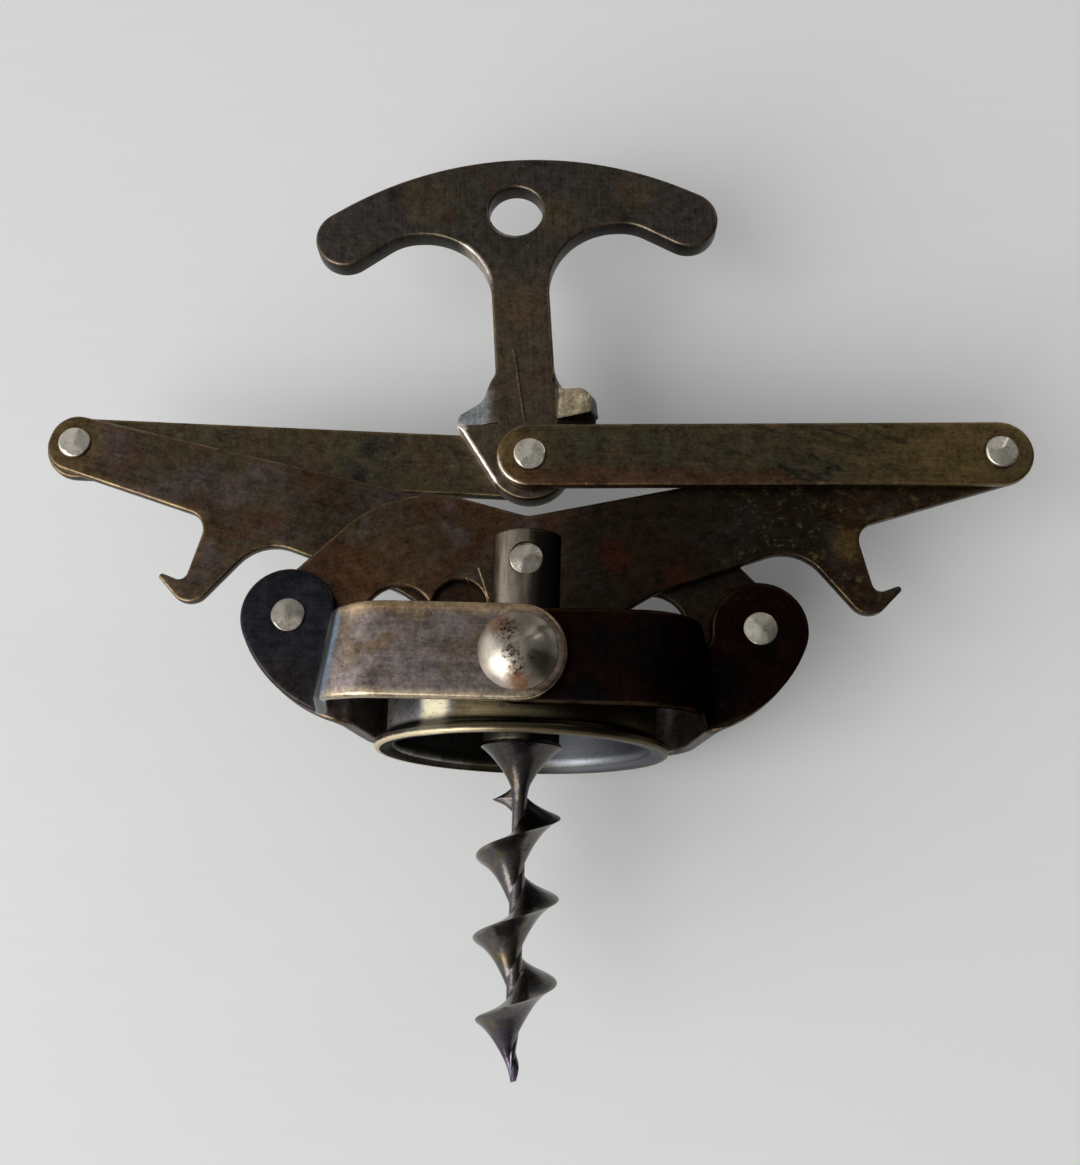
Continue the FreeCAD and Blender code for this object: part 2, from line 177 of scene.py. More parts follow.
class WormSizes(bpy.types.PropertyGroup):
    blade: length("Blade", "Radius of the blade's edge", 4.98)
    core: length("Core", "Radius of the core between the turns", 0.85)
    pitch: length("Pitch", "Distance between two turns", 9.4)
    length: length("Length", "From the cone's end to the tip", 33.2)
    start: turn("Start", "Direction in which the blade starts", 231.7)
    upper: length("Upper flank", "Height of the short side over the edge", 1.9)
    lower: length("Lower flank", "Height of the long side under the edge", 5.0)


class RivetSizes(bpy.types.PropertyGroup):
    head: length("Head", "Radius of a small rivet's head", 2.15)
    head_height: length("Head height", "Height of a small rivet's head", 0.85)
    shank: length("Shank", "Radius of a small rivet's shank", 1.5)
    dome: length("Dome", "Radius of the two collar rivets' heads", 4.4)
    dome_height: length("Dome height", "Height of the two collar rivets' heads", 2.3)


class Finish(bpy.types.PropertyGroup):
    brass: colour("Bare brass", "Where the finish is worn through", (0.52, 0.40, 0.22))
    olive: colour("Olive", "Greenish brown of the old finish", (0.052, 0.045, 0.026))
    umber: colour("Umber", "Plain brown of the old finish", (0.060, 0.042, 0.026))
    russet: colour("Russet", "Red brown of the old finish", (0.066, 0.032, 0.018))
    violet: colour("Violet", "Violet brown of the old finish", (0.084, 0.062, 0.058))
    ink: colour("Ink", "Blue black of the old finish", (0.017, 0.018, 0.018))
    satin: colour("Satin", "Rubbed violet grey of the left strap", (0.225, 0.185, 0.178))
    gold: colour("Gold", "Golden brown where rivets and hands have rubbed", (0.150, 0.100, 0.040))
    rust: colour("Rust", "Rust on the dome rivets", (0.15, 0.045, 0.018))
    steel: colour("Rivet steel", "Small rivets", (0.56, 0.52, 0.44))
    nickel: colour("Nickel", "Dome rivets", (0.40, 0.358, 0.30))
    worm: colour("Worm steel", "Dark steel of the worm", (0.105, 0.096, 0.094))
    shaft: colour("Shaft brass", "Grey brown of the shaft", (0.20, 0.172, 0.138))


class StageSizes(bpy.types.PropertyGroup):
    floor: colour("Floor", "Pale floor", (0.675, 0.682, 0.675))
    key: bpy.props.FloatProperty(name="Key light", description="Power of the large soft light on the left",
                                 default=9.0, min=0.0, unit="POWER")
    sky: bpy.props.FloatProperty(name="Sky", description="Strength of the even light from all round",
                                 default=0.40, min=0.0)
    eye: bpy.props.FloatVectorProperty(
        name="Camera", description="Where the camera stands", size=3, subtype="TRANSLATION",
        default=(5.166 * MM, -34.77 * MM, 157.181 * MM))
    aim: bpy.props.FloatVectorProperty(
        name="Camera angles", description="How the camera is turned", size=3, subtype="EULER",
        default=(math.radians(15.842), math.radians(0.819), math.radians(1.56)))
    lens: bpy.props.FloatProperty(
        name="Lens", default=43.33, min=1.0,
        description="Focal length on a sensor 36 mm wide, in millimetres")


class Corkscrew(bpy.types.PropertyGroup):
    plates: bpy.props.PointerProperty(type=PlateSizes)
    lever: bpy.props.PointerProperty(type=LeverSizes)
    link: bpy.props.PointerProperty(type=LinkSizes)
    strap: bpy.props.PointerProperty(type=StrapSizes)
    handle: bpy.props.PointerProperty(type=HandleSizes)
    collar: bpy.props.PointerProperty(type=CollarSizes)
    worm: bpy.props.PointerProperty(type=WormSizes)
    rivet: bpy.props.PointerProperty(type=RivetSizes)
    finish: bpy.props.PointerProperty(type=Finish)
    stage: bpy.props.PointerProperty(type=StageSizes)


def sizes(group):
    """A settings group's lengths in millimetres and its other values as they are."""
    settings = getattr(bpy.context.scene.corkscrew, group)
    found = {}
    for name, kind in settings.bl_rna.properties.items():
        if name in ("rna_type", "name"):
            continue
        value = getattr(settings, name)
        found[name] = value / MM if kind.unit == "LENGTH" and not kind.is_array else value
    return type("Sizes", (), found)


# ---- outlines: closed loops of points, counterclockwise

def arc(centre, radius, start, end, step):
    """Points on a circle from one angle up or down to another, without the last one, and 18 or more to a
    half turn."""
    count = max(3, math.ceil(abs(end - start) * max(radius / step, 18 / math.pi)))
    a = start + (end - start) * np.arange(count) / count
    return np.stack([centre[0] + radius * np.cos(a), centre[1] + radius * np.sin(a)], 1)


def line(start, end, step):
    """Evenly spaced points on a straight run, without the last one."""
    start, end = np.asarray(start, float), np.asarray(end, float)
    count = max(1, math.ceil(np.linalg.norm(end - start) / step))
    return start + (end - start) * (np.arange(count) / count)[:, None]


def rounded(corners, step):
    """A closed loop through (x, y, radius) corners: straight runs, and at each corner an arc that touches
    both."""
    arcs = []
    for i, (x, y, radius) in enumerate(corners):
        here = np.array([x, y])
        back = np.subtract(corners[i - 1][:2], here)
        ahead = np.subtract(corners[(i + 1) % len(corners)][:2], here)
        back, ahead = back / np.linalg.norm(back), ahead / np.linalg.norm(ahead)
        half = math.acos(np.clip(back @ ahead, -1, 1)) / 2
        start, end = here + back * radius / math.tan(half), here + ahead * radius / math.tan(half)
        if radius:
            centre = here + (back + ahead) / np.linalg.norm(back + ahead) * radius / math.sin(half)
            first = math.atan2(*(start - centre)[::-1])
            sweep = (math.atan2(*(end - centre)[::-1]) - first + math.pi) % TAU - math.pi
            arcs.append((arc(centre, radius, first, first + sweep, step), start, end))
        else:
            arcs.append((np.zeros((0, 2)), start, end))
    runs = []
    for i, (points, _, end) in enumerate(arcs):
        runs += [points, line(end, arcs[(i + 1) % len(arcs)][1], step)]
    return np.vstack(runs)


def circle(centre, radius, step):
    return arc(centre, radius, 0, TAU, step)


def respaced(loop, step):
    """The same closed loop with its points at even distances."""
    closed = np.vstack([loop, loop[:1]])
    along = np.concatenate([[0], np.cumsum(np.linalg.norm(np.diff(closed, axis=0), axis=1))])
    at = along[-1] * np.arange(math.ceil(along[-1] / step)) / math.ceil(along[-1] / step)
    return np.stack([np.interp(at, along, closed[:, 0]), np.interp(at, along, closed[:, 1])], 1)


def seated(points, angle, origin):
    """Points of a plate's own frame, turned and moved to its pivot."""
    c, s = math.cos(angle), math.sin(angle)
    return points @ np.array([[c, s], [-s, c]]) + np.asarray(origin)[:2]


# ---- meshes

def new_object(name, points, faces, material):
    """Puts points in millimetres and a list of face arrays into a mesh object. A shape that came out inside
    out, which a mirrored place does, has its faces turned."""
    fan = np.vstack([np.concatenate([f[:, [0, k, k + 1]] for k in range(1, f.shape[1] - 1)]) for f in faces])
    a, b, c = (points[fan[:, k]] for k in range(3))
    if np.einsum("ij,ij->", a, np.cross(b, c)) < 0:
        faces = [f[:, ::-1] for f in faces]
    mesh = bpy.data.meshes.new(name)
    loops = np.concatenate([f.ravel() for f in faces]).astype(np.int32)
    counts = np.concatenate([np.full(len(f), f.shape[1]) for f in faces]).astype(np.int32)
    mesh.vertices.add(len(points))
    mesh.vertices.foreach_set("co", (points * MM).astype(np.float32).ravel())
    mesh.loops.add(len(loops))
    mesh.loops.foreach_set("vertex_index", loops)
    mesh.polygons.add(len(counts))
    mesh.polygons.foreach_set("loop_start", np.concatenate([[0], np.cumsum(counts)[:-1]]).astype(np.int32))
    mesh.polygons.foreach_set("use_smooth", np.ones(len(counts), bool))
    mesh.update(calc_edges=True)
    mesh.validate()
    mesh.materials.append(material)
    made = bpy.data.objects.new(name, mesh)
    bpy.context.scene.collection.objects.link(made)
    return made


def add_piece(node, points, faces, body, material, rim=None, sharp=None):
    """The visible piece of a node, which rides on a body. Rim is how far each point is from the plate's
    edge, and sharp the angle over which an edge isn't smoothed."""
    piece = new_object("visual_" + node, points, faces, material)
    if rim is not None:
        piece.data.attributes.new("rim", "FLOAT", "POINT").data.foreach_set("value", rim.astype(np.float32))
    if sharp is not None:
        piece.data.set_sharp_from_angle(angle=sharp)
    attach(piece, body)
    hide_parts(node)
    return piece


def grid_faces(rows, columns, wrap_rows=False, wrap_columns=True):
    """Quads between neighbours of a grid of points that is stored row by row."""
    i = np.arange(rows if wrap_rows else rows - 1)[:, None]
    j = np.arange(columns if wrap_columns else columns - 1)[None, :]
    i2, j2 = (i + 1) % rows, (j + 1) % columns
    quads = np.stack([i * columns + j, i * columns + j2, i2 * columns + j2, i2 * columns + j], -1)
    return quads.reshape(-1, 4)


def lathed(profile, turns=160):
    """A surface of revolution: a point (radius, height) of the profile goes round to (radius cos a, radius
    sin a, height). Where an open profile starts and ends on the axis, each end is one point with a fan of
    triangles."""
    profile = np.asarray(profile, float)
    a = TAU * np.arange(turns) / turns
    open_ends = abs(profile[0, 0]) < 1e-9
    side = profile[1:-1] if open_ends else profile
    points = np.stack([side[:, :1] * np.cos(a), side[:, :1] * np.sin(a), side[:, 1:] + 0 * a], -1)
    points = points.reshape(-1, 3)
    faces = [grid_faces(len(side), turns, wrap_rows=not open_ends)]
    if open_ends:
        j = np.arange(turns)
        low, high, last = len(points), len(points) + 1, (len(side) - 1) * turns
        points = np.vstack([points, [0, 0, profile[0, 1]], [0, 0, profile[-1, 1]]])
        faces.append(np.stack([np.full(turns, low), (j + 1) % turns, j], 1))
        faces.append(np.stack([np.full(turns, high), last + j, last + (j + 1) % turns], 1))
    return points, faces


def along_y(points):
    """Lathed points whose axis Z is laid along Y."""
    return np.stack([points[:, 0], points[:, 2], -points[:, 1]], 1)


def rim_distance(points, loops):
    """Distance from each point to the nearest straight run of any of the loops."""
    start = np.vstack(loops)
    run = np.vstack([np.roll(loop, -1, axis=0) for loop in loops]) - start
    found = []
    for part in np.array_split(points, max(1, len(points) // 1500)):
        off = part[:, None] - start[None]
        t = np.clip((off * run).sum(-1) / (run * run).sum(-1), 0, 1)
        found.append(np.sqrt(((off - t[..., None] * run) ** 2).sum(-1).min(1)))
    return np.concatenate(found)


def inside(points, loops):
    """Whether each point is inside the outline and outside its holes: a ray to the right meets an odd
    number of runs."""
    start = np.vstack(loops)
    end = np.vstack([np.roll(loop, -1, axis=0) for loop in loops])
    found = []
    for part in np.array_split(points, max(1, len(points) // 3000)):
        y = part[:, 1:2]
        level = (start[:, 1] > y) != (end[:, 1] > y)
        rise = np.where(end[:, 1] == start[:, 1], 1, end[:, 1] - start[:, 1])
        x = start[:, 0] + (y - start[:, 1]) / rise * (end[:, 0] - start[:, 0])
        found.append((level & (part[:, :1] < x)).sum(1) % 2 == 1)
    return np.concatenate(found)


def unsheared(points):
    """Nowhere sheared: the edge is rounded all the way round."""
    return np.zeros(len(points))


def plate_surface(loops, thick, edge, place, step, sheared=unsheared, extra=None):
    """A stamped plate over a flat outline. Each point inside has a half height that is half the sheet, less
    the drop of a quarter circle of the edge's radius within that distance of the rim. The same points make
    the upper and lower face, and a wall joins them round the rim. Place maps flat points and heights to the
    frame. Sheared gives 1 for flat points at an edge that is left sharp and unworn. Extra points follow the
    plate's bends."""
    def rounding(points):
        return edge + (SHEARED_ROUND - edge) * sheared(points)
    rings = []
    for quarter in (0.28, 0.52, 0.76, 1.0):
        for loop in loops:
            inset = rounding(loop) * (1 - math.cos(quarter * math.pi / 2))
            side = np.roll(loop, -1, axis=0) - np.roll(loop, 1, axis=0)
            side /= np.linalg.norm(side, axis=1)[:, None]
            ring = loop + inset[:, None] * np.stack([-side[:, 1], side[:, 0]], 1)
            rings.append(ring[rim_distance(ring, loops) > 0.93 * inset])
    low, high = loops[0].min(0), loops[0].max(0)
    x = np.arange(low[0], high[0], step)
    y = np.arange(low[1], high[1], step * math.sqrt(3) / 2)
    gx, gy = np.meshgrid(x, y)
    gx = gx + step / 2 * (np.arange(len(y)) % 2)[:, None]
    grid = np.stack([gx.ravel(), gy.ravel()], 1)
    if extra is not None:
        apart = np.linalg.norm(grid[:, None] - extra[None], axis=-1).min(1)
        grid = np.vstack([grid[apart > 0.5 * step], extra])
    grid = grid[inside(grid, loops)]
    grid = grid[rim_distance(grid, loops) > rounding(grid) + 0.3 * step]
    runs = []
    for loop in loops:
        j = np.arange(len(loop))
        runs.append(sum(map(len, runs)) + np.stack([j, (j + 1) % len(loop)], 1))
    made = delaunay_2d_cdt(np.vstack(loops + rings + [grid]).tolist(), np.vstack(runs).tolist(), [], 0, 1e-5)
    flat, faces = np.array(made[0]), np.array(made[2])
    faces = faces[inside(flat[faces].mean(1), loops)]
    used, faces = np.unique(faces, return_inverse=True)
    flat, faces = flat[used], faces.reshape(-1, 3)
    rim = rim_distance(flat, loops)
    own = rounding(flat)
    depth = np.clip(own - rim, 0, own)
    half = thick / 2 - own + np.sqrt(own ** 2 - depth ** 2)
    count = len(flat)
    points = place(np.vstack([flat, flat]), np.concatenate([half, -half]))
    sides = np.vstack([faces[:, [0, 1]], faces[:, [1, 2]], faces[:, [2, 0]]])
    _, index, times = np.unique(np.sort(sides, 1), axis=0, return_index=True, return_counts=True)
    a, b = sides[index[times == 1]].T
    wall = np.stack([b, a, a + count, b + count], 1)
    return points, [faces, faces[:, ::-1] + count, wall], np.concatenate([rim, rim])


def holes(points, radius, step):
    """Clockwise loops of round holes."""
    return [circle(p, radius, step)[::-1] for p in points]


# ---- shader maths

class Socket:
    """An output of a node, with the arithmetic that the finishes use."""

    def __init__(self, graph, output):
        self.graph = graph
        self.output = output

    def maths(self, operation, *values):
        return self.graph.node("ShaderNodeMath", {"operation": operation}, dict(enumerate(values)))

    def __add__(self, other):
        return self.maths("ADD", self, other)

    def __sub__(self, other):
        return self.maths("SUBTRACT", self, other)

    def __mul__(self, other):
        return self.maths("MULTIPLY", self, other)

    def __pow__(self, other):
        return self.maths("POWER", self, other)

    def __rsub__(self, other):
        return self.maths("SUBTRACT", other, self)

    def __abs__(self):
        return self.maths("ABSOLUTE", self)

    __radd__ = __add__
    __rmul__ = __mul__

    def least(self, other):
        return self.maths("MINIMUM", self, other)

    def most(self, other):
        return self.maths("MAXIMUM", self, other)

    def sine(self):
        return self.maths("SINE", self)

    def angle(self, x):
        """Direction of the point (x, this), from minus half a turn to half a turn."""
        return self.maths("ARCTAN2", self, x)


class Graph:
    """A material or world under construction, with coordinates in millimetres."""

    def __init__(self, owner):
        owner.use_nodes = True
        self.owner = owner
        self.tree = owner.node_tree
        self.tree.nodes.clear()

    def node(self, kind, settings=None, sockets=None, output=0):
        """One node: its settings first, then the values or links of its sockets. Gives one of its
        outputs."""
        made = self.tree.nodes.new(kind)
        for name, value in (settings or {}).items():
            setattr(made, name, value)
        for name, value in (sockets or {}).items():
            if isinstance(value, Socket):
                self.tree.links.new(value.output, made.inputs[name])
            else:
                made.inputs[name].default_value = value
        return Socket(self, made.outputs[output]) if len(made.outputs) else made

    def place(self):
        """Object coordinates in millimetres."""
        coordinates = self.node("ShaderNodeTexCoord", output="Object")
        return self.node("ShaderNodeVectorMath", {"operation": "SCALE"}, {0: coordinates, "Scale": 1 / MM})

    def shifted(self, vector, by):
        return self.node("ShaderNodeVectorMath", {"operation": "ADD"}, {0: vector, 1: by})

    def stretched(self, vector, angle, sizes):
        """Coordinates turned about Z and measured in the given sizes along the new axes."""
        return self.node("ShaderNodeMapping", {"vector_type": "TEXTURE"},
                         {"Vector": vector, "Rotation": (0, 0, math.radians(angle)), "Scale": sizes})

    def noise(self, vector, size, detail=3.0, roughness=0.55, distortion=0.0):
        return self.node("ShaderNodeTexNoise", {}, {"Vector": vector, "Scale": 1 / size, "Detail": detail,
                                                    "Roughness": roughness, "Distortion": distortion})

    def ragged(self, vector, size, by, roughness=0.66):
        """An uneven offset round 0, in millimetres."""
        return (self.noise(vector, size, 5.0, roughness) - 0.5) * by

    def axis(self, vector, which):
        """One coordinate: 0, 1 or 2 for X, Y or Z."""
        return self.node("ShaderNodeSeparateXYZ", {}, {"Vector": vector}, output=which)

    def flat(self, vector):
        """The vector in the plane of the plates."""
        return self.node("ShaderNodeVectorMath", {"operation": "MULTIPLY"}, {0: vector, 1: (1, 1, 0)})

    def apart(self, first, second):
        """Distance between two points."""
        return self.node("ShaderNodeVectorMath", {"operation": "DISTANCE"}, {0: first, 1: second},
                         output="Value")

    def between(self, value, low, high):
        """0 below low, 1 above high, and a smooth rise between. Low over high gives a fall."""
        if low > high:
            return 1 - self.between(value, high, low)
        return self.node("ShaderNodeMapRange", {"interpolation_type": "SMOOTHSTEP"},
                         {"Value": value, "From Min": low, "From Max": high})

    def mix(self, share, first, second):
        return self.node("ShaderNodeMix", {"data_type": "RGBA", "clamp_factor": True},
                         {0: share, 6: as_colour(first), 7: as_colour(second)}, output=2)

    def stained(self, tone, *stains):
        """The tone with others laid over it one after the other, each given as (mask, share, colour)."""
        for mask, share, other in stains:
            tone = self.mix(mask * share, tone, other)
        return tone

    def dimmed(self, tone, factor):
        return self.node("ShaderNodeVectorMath", {"operation": "SCALE"}, {0: tone, "Scale": factor})

    def rim(self):
        """Distance to the plate's edge, in millimetres."""
        return self.node("ShaderNodeAttribute", {"attribute_name": "rim"}, output="Fac")

    def spot(self, vector, centre, radius, soft, ragged=None):
        """1 within a radius of a point that is given in the plane of the plates, falling to 0 over soft."""
        away = self.apart(self.flat(vector), (centre[0], centre[1], 0))
        if ragged is not None:
            away = away + ragged
        return self.between(away, radius + soft, radius)

    def stroke(self, vector, start, end, width):
        """1 on a straight scratch between two points in the plane of the plates: the distance to the
        nearest point of the segment, found by the share of the segment's length that a point has passed."""
        run = np.subtract(end, start)
        size = float(run @ run)
        off = self.shifted(self.flat(vector), (-start[0], -start[1], 0))
        passed = self.node("ShaderNodeVectorMath", {"operation": "DOT_PRODUCT"},
                           {0: off, 1: (run[0] / size, run[1] / size, 0)}, output="Value")
        along = self.dimmed((run[0], run[1], 0), passed.most(0.0).least(1.0))
        return self.between(self.apart(off, along), width, width * 0.3)

    def strokes(self, vector, rows):
        """1 on any of several scratches, given as (start, end, width) rows."""
        found = self.stroke(vector, *rows[0])
        for row in rows[1:]:
            found = found.most(self.stroke(vector, *row))
        return found

    def hairlines(self, vector, angle, reach, width, few):
        """Fine straight scratches one way: a stretched noise is thin where it passes its middle value."""
        stretched = self.stretched(vector, angle, (reach, width * 12, width * 12))
        drawn = self.between(abs(self.noise(stretched, 1.0, 1.0) - 0.5), 0.010, 0.002)
        return drawn * self.between(self.noise(vector, reach * 0.6, 1.0), few, few + 0.08)

    def finish(self, tone, rough, bump, depth, metal=1.0, edge=1.0):
        """The metal shader. Bump is a height in units of depth, in millimetres. Edge is how light the metal
        gets where it is seen at a grazing angle."""
        normal = self.node("ShaderNodeBump", {}, {"Height": bump, "Strength": 1.0, "Distance": depth * MM})
        shader = self.node("ShaderNodeBsdfPrincipled", {}, {
            "Base Color": tone, "Roughness": rough, "Metallic": metal, "Normal": normal,
            "Specular Tint": (edge, edge, edge, 1.0)})
        self.node("ShaderNodeOutputMaterial", {}, {"Surface": shader})
        return self.owner


def as_colour(value):
    return (*value, 1.0) if isinstance(value, (tuple, list)) and len(value) == 3 else value


def graph(name):
    return Graph(bpy.data.materials.new(name))


def tones():
    """The finish's colours as plain tuples."""
    settings = bpy.context.scene.corkscrew.finish
    return {name: tuple(getattr(settings, name)) for name in settings.__annotations__}


# ---- finishes

def patina(name, layers, seed, gloss=0.40, wear=0.5, band=0.8, light=1.0, brush=0.0, speckle=0.34,
           marks=None, edge=1.0):
    """Old finish on a brass plate: a ground tone with clouds of others over it, a fine grain, faint brush
    lines, a few pits and hairline scratches, a rolled edge that is worn to brass in stretches, and walls
    painted dark as shade. Layers are a ground tone and (tone, cloud size, low, high) rows. Marks may change
    the tone, the roughness and the height, and gets the graph, the place and those three."""
    t = tones()
    g = graph(name)
    at = g.place()
    moved = g.shifted(at, (seed * 17.3, seed * 9.1, seed * 5.7))
    tone = as_colour(layers[0])
    for i, (other, size, low, high) in enumerate(layers[1:]):
        cloud = g.noise(g.shifted(moved, (0, 31.0 * i, 11.0 * i)), size, 5.0, 0.60, 0.3)
        tone = g.mix(g.between(cloud, low, high), tone, other)
    grain = g.noise(moved, 0.40, 3.0, 0.6)
    mottle = g.noise(moved, 1.5, 6.0, 0.72)
    lines = g.noise(g.stretched(moved, brush, (7.0, 0.32, 7.0)), 1.0, 3.0, 0.6)
    uneven = g.noise(moved, 3.4, 3.0, 0.6)
    golden = g.between(g.noise(g.shifted(moved, (13, 5, 2)), 0.9, 6.0, 0.75), 0.52, 0.72)
    pits = g.between(g.noise(moved, 0.6, 3.0, 0.6), 0.36, 0.28)
    scratches = g.hairlines(moved, 24, 4.0, 0.03, 0.60)
    rim = g.rim()
    handled = g.between(rim + (uneven - 0.5) * band * 1.4, band, 0.2 * band)
    rolled = g.between(rim + (mottle - 0.5) * 0.30, 0.46, 0.20) * g.between(rim, 0.01, 0.08)
    edge_patch = rolled * (0.10 + 0.90 * g.between(uneven, 0.36, 0.62))
    tone = g.stained(tone, (golden, speckle, t["gold"]), (pits, 0.6, (0.008, 0.007, 0.006)),
                     (scratches, 0.05, t["brass"]), (handled, wear * 0.60, (0.125, 0.075, 0.032)),
                     (edge_patch, wear * 0.48, t["brass"]),
                     # Painted shade: the walls darkened, as the plate's sides fall in shadow.
                     (g.between(rim, 0.035, 0.005), 0.72, (0.012, 0.010, 0.008)))
    rough = gloss + 0.18 * (mottle - 0.5) + 0.10 * (uneven - 0.5) - 0.08 * rolled
    height = grain * 0.30 + mottle * 0.9 + lines * 0.10 - scratches * 0.2 - pits * 0.5
    if marks:
        tone, rough, height = marks(g, at, tone, rough, height)
    texture = (2.2 * mottle + 0.9 * lines + 1.3 * grain - 1.2).most(0.25) * light
    return g.finish(g.dimmed(tone, texture), rough.most(0.16), height, 0.022, edge=edge)


def rivet_steel(name, seed, grey=1.0):
    """Pale worn steel of a small rivet: specks of dirt, a dark ring at its foot and a beaten, scratched
    top."""
    g = graph(name)
    at = g.shifted(g.place(), (seed * 13.7, seed * 7.9, 0))
    cloud = g.noise(at, 1.1, 4.0, 0.65)
    specks = g.between(g.noise(at, 0.22, 2.0, 0.6), 0.38, 0.30)
    brown = g.between(g.noise(g.shifted(at, (5, 5, 5)), 0.9, 3.0), 0.56, 0.66)
    tone = g.stained(g.dimmed(tones()["steel"], (0.55 + 0.80 * cloud) * grey),
                     (specks, 0.45, (0.12, 0.098, 0.065)), (brown, 0.45, (0.30, 0.23, 0.13)),
                     (g.between(g.rim(), 0.32, 0.02), 0.6, (0.07, 0.055, 0.04)))
    height = g.noise(at, 0.6, 3.0, 0.6) * 0.8 - specks * 0.25
    return g.finish(tone, 0.20 + 0.16 * cloud + 0.25 * specks, height, 0.03)


def dome_nickel(name, seed):
    """Plated dome gone beige and grey: turning rings, tarnish in clouds, painted dark reflections in two
    wedges, rust at the upper left and below, and clusters of black specks where the plating has lifted."""
    t = tones()
    g = graph(name)
    place = g.place()
    at = g.shifted(place, (-PIVOT[0], -PIVOT[1], 0))
    moved = g.shifted(place, (seed * 11.3, seed * 4.1, 0))
    away = g.apart(g.flat(at), (0, 0, 0))
    cloud = g.noise(moved, 1.5, 5.0, 0.66)
    fine = g.noise(moved, 0.42, 5.0, 0.78)
    streak = g.noise(moved, 0.8, 4.0, 0.7) * 0.5
    ragged = g.ragged(moved, 0.7, 2.8, 0.74)
    dull = g.spot(at, (0.6, 3.0), 0.6, 1.6, ragged * 0.7)
    dull = dull.most(g.spot(at, (2.7, -2.2), 0.5, 1.5, ragged * 0.7))
    low = g.spot(at, (0.2, -3.5), 0.5, 1.4, ragged)
    high = g.spot(at, (-2.0, 2.6), 0.6, 1.6, ragged)
    scattered = g.between(g.noise(g.shifted(moved, (3, 0, 0)), 0.9, 4.0, 0.7), 0.60, 0.72)
    rust = low.most(high * 0.9).most(scattered * 0.4)
    rusty = g.mix(g.between(cloud, 0.4, 0.6), t["rust"], (0.24, 0.12, 0.055))
    # Painted reflection: two dark radial wedges, found by the angle round the dome, such as a turned head
    # shows.
    aim = g.axis(at, 1).angle(g.axis(at, 0))
    dark_reflection_wedge = g.between(abs(aim - 0.95 + streak), 0.22, 0.05)
    dark_reflection_wedge = dark_reflection_wedge.most(g.between(abs(aim + 0.35 + streak * 0.6), 0.50, 0.20)) * g.between(away, 0.9, 1.9)
    belt = g.spot(at, (-1.1, 1.9), 0.8, 1.0, ragged * 0.5)
    for centre, size in (((-1.3, 0.9), 0.5), ((-0.6, -0.6), 0.7), ((0.3, -2.0), 0.6), ((1.4, -1.6), 0.4)):
        belt = belt.most(g.spot(at, centre, size, 0.7, ragged * 0.4))
    specks = (g.between(fine, 0.49, 0.44) * belt).most(g.between(fine, 0.36, 0.32) * 0.8)
    tone = g.stained(g.dimmed(t["nickel"], 0.56 + 0.80 * cloud), (dull, 0.62, (0.15, 0.135, 0.085)),
                     (rust, 0.85, rusty), (dark_reflection_wedge, 0.72, (0.060, 0.050, 0.036)),
                     (belt, 0.42, (0.085, 0.060, 0.038)), (specks, 0.92, (0.020, 0.016, 0.012)))
    rings = (away * 30.0).sine() * 0.5 + 0.5
    height = rings * 0.22 + g.noise(moved, 0.9, 3.0, 0.6) * 1.3 - specks * 0.8 - rust * 0.4
    return g.finish(tone, 0.26 + 0.14 * cloud + 0.36 * rust + 0.2 * specks + 0.10 * dull, height, 0.018)


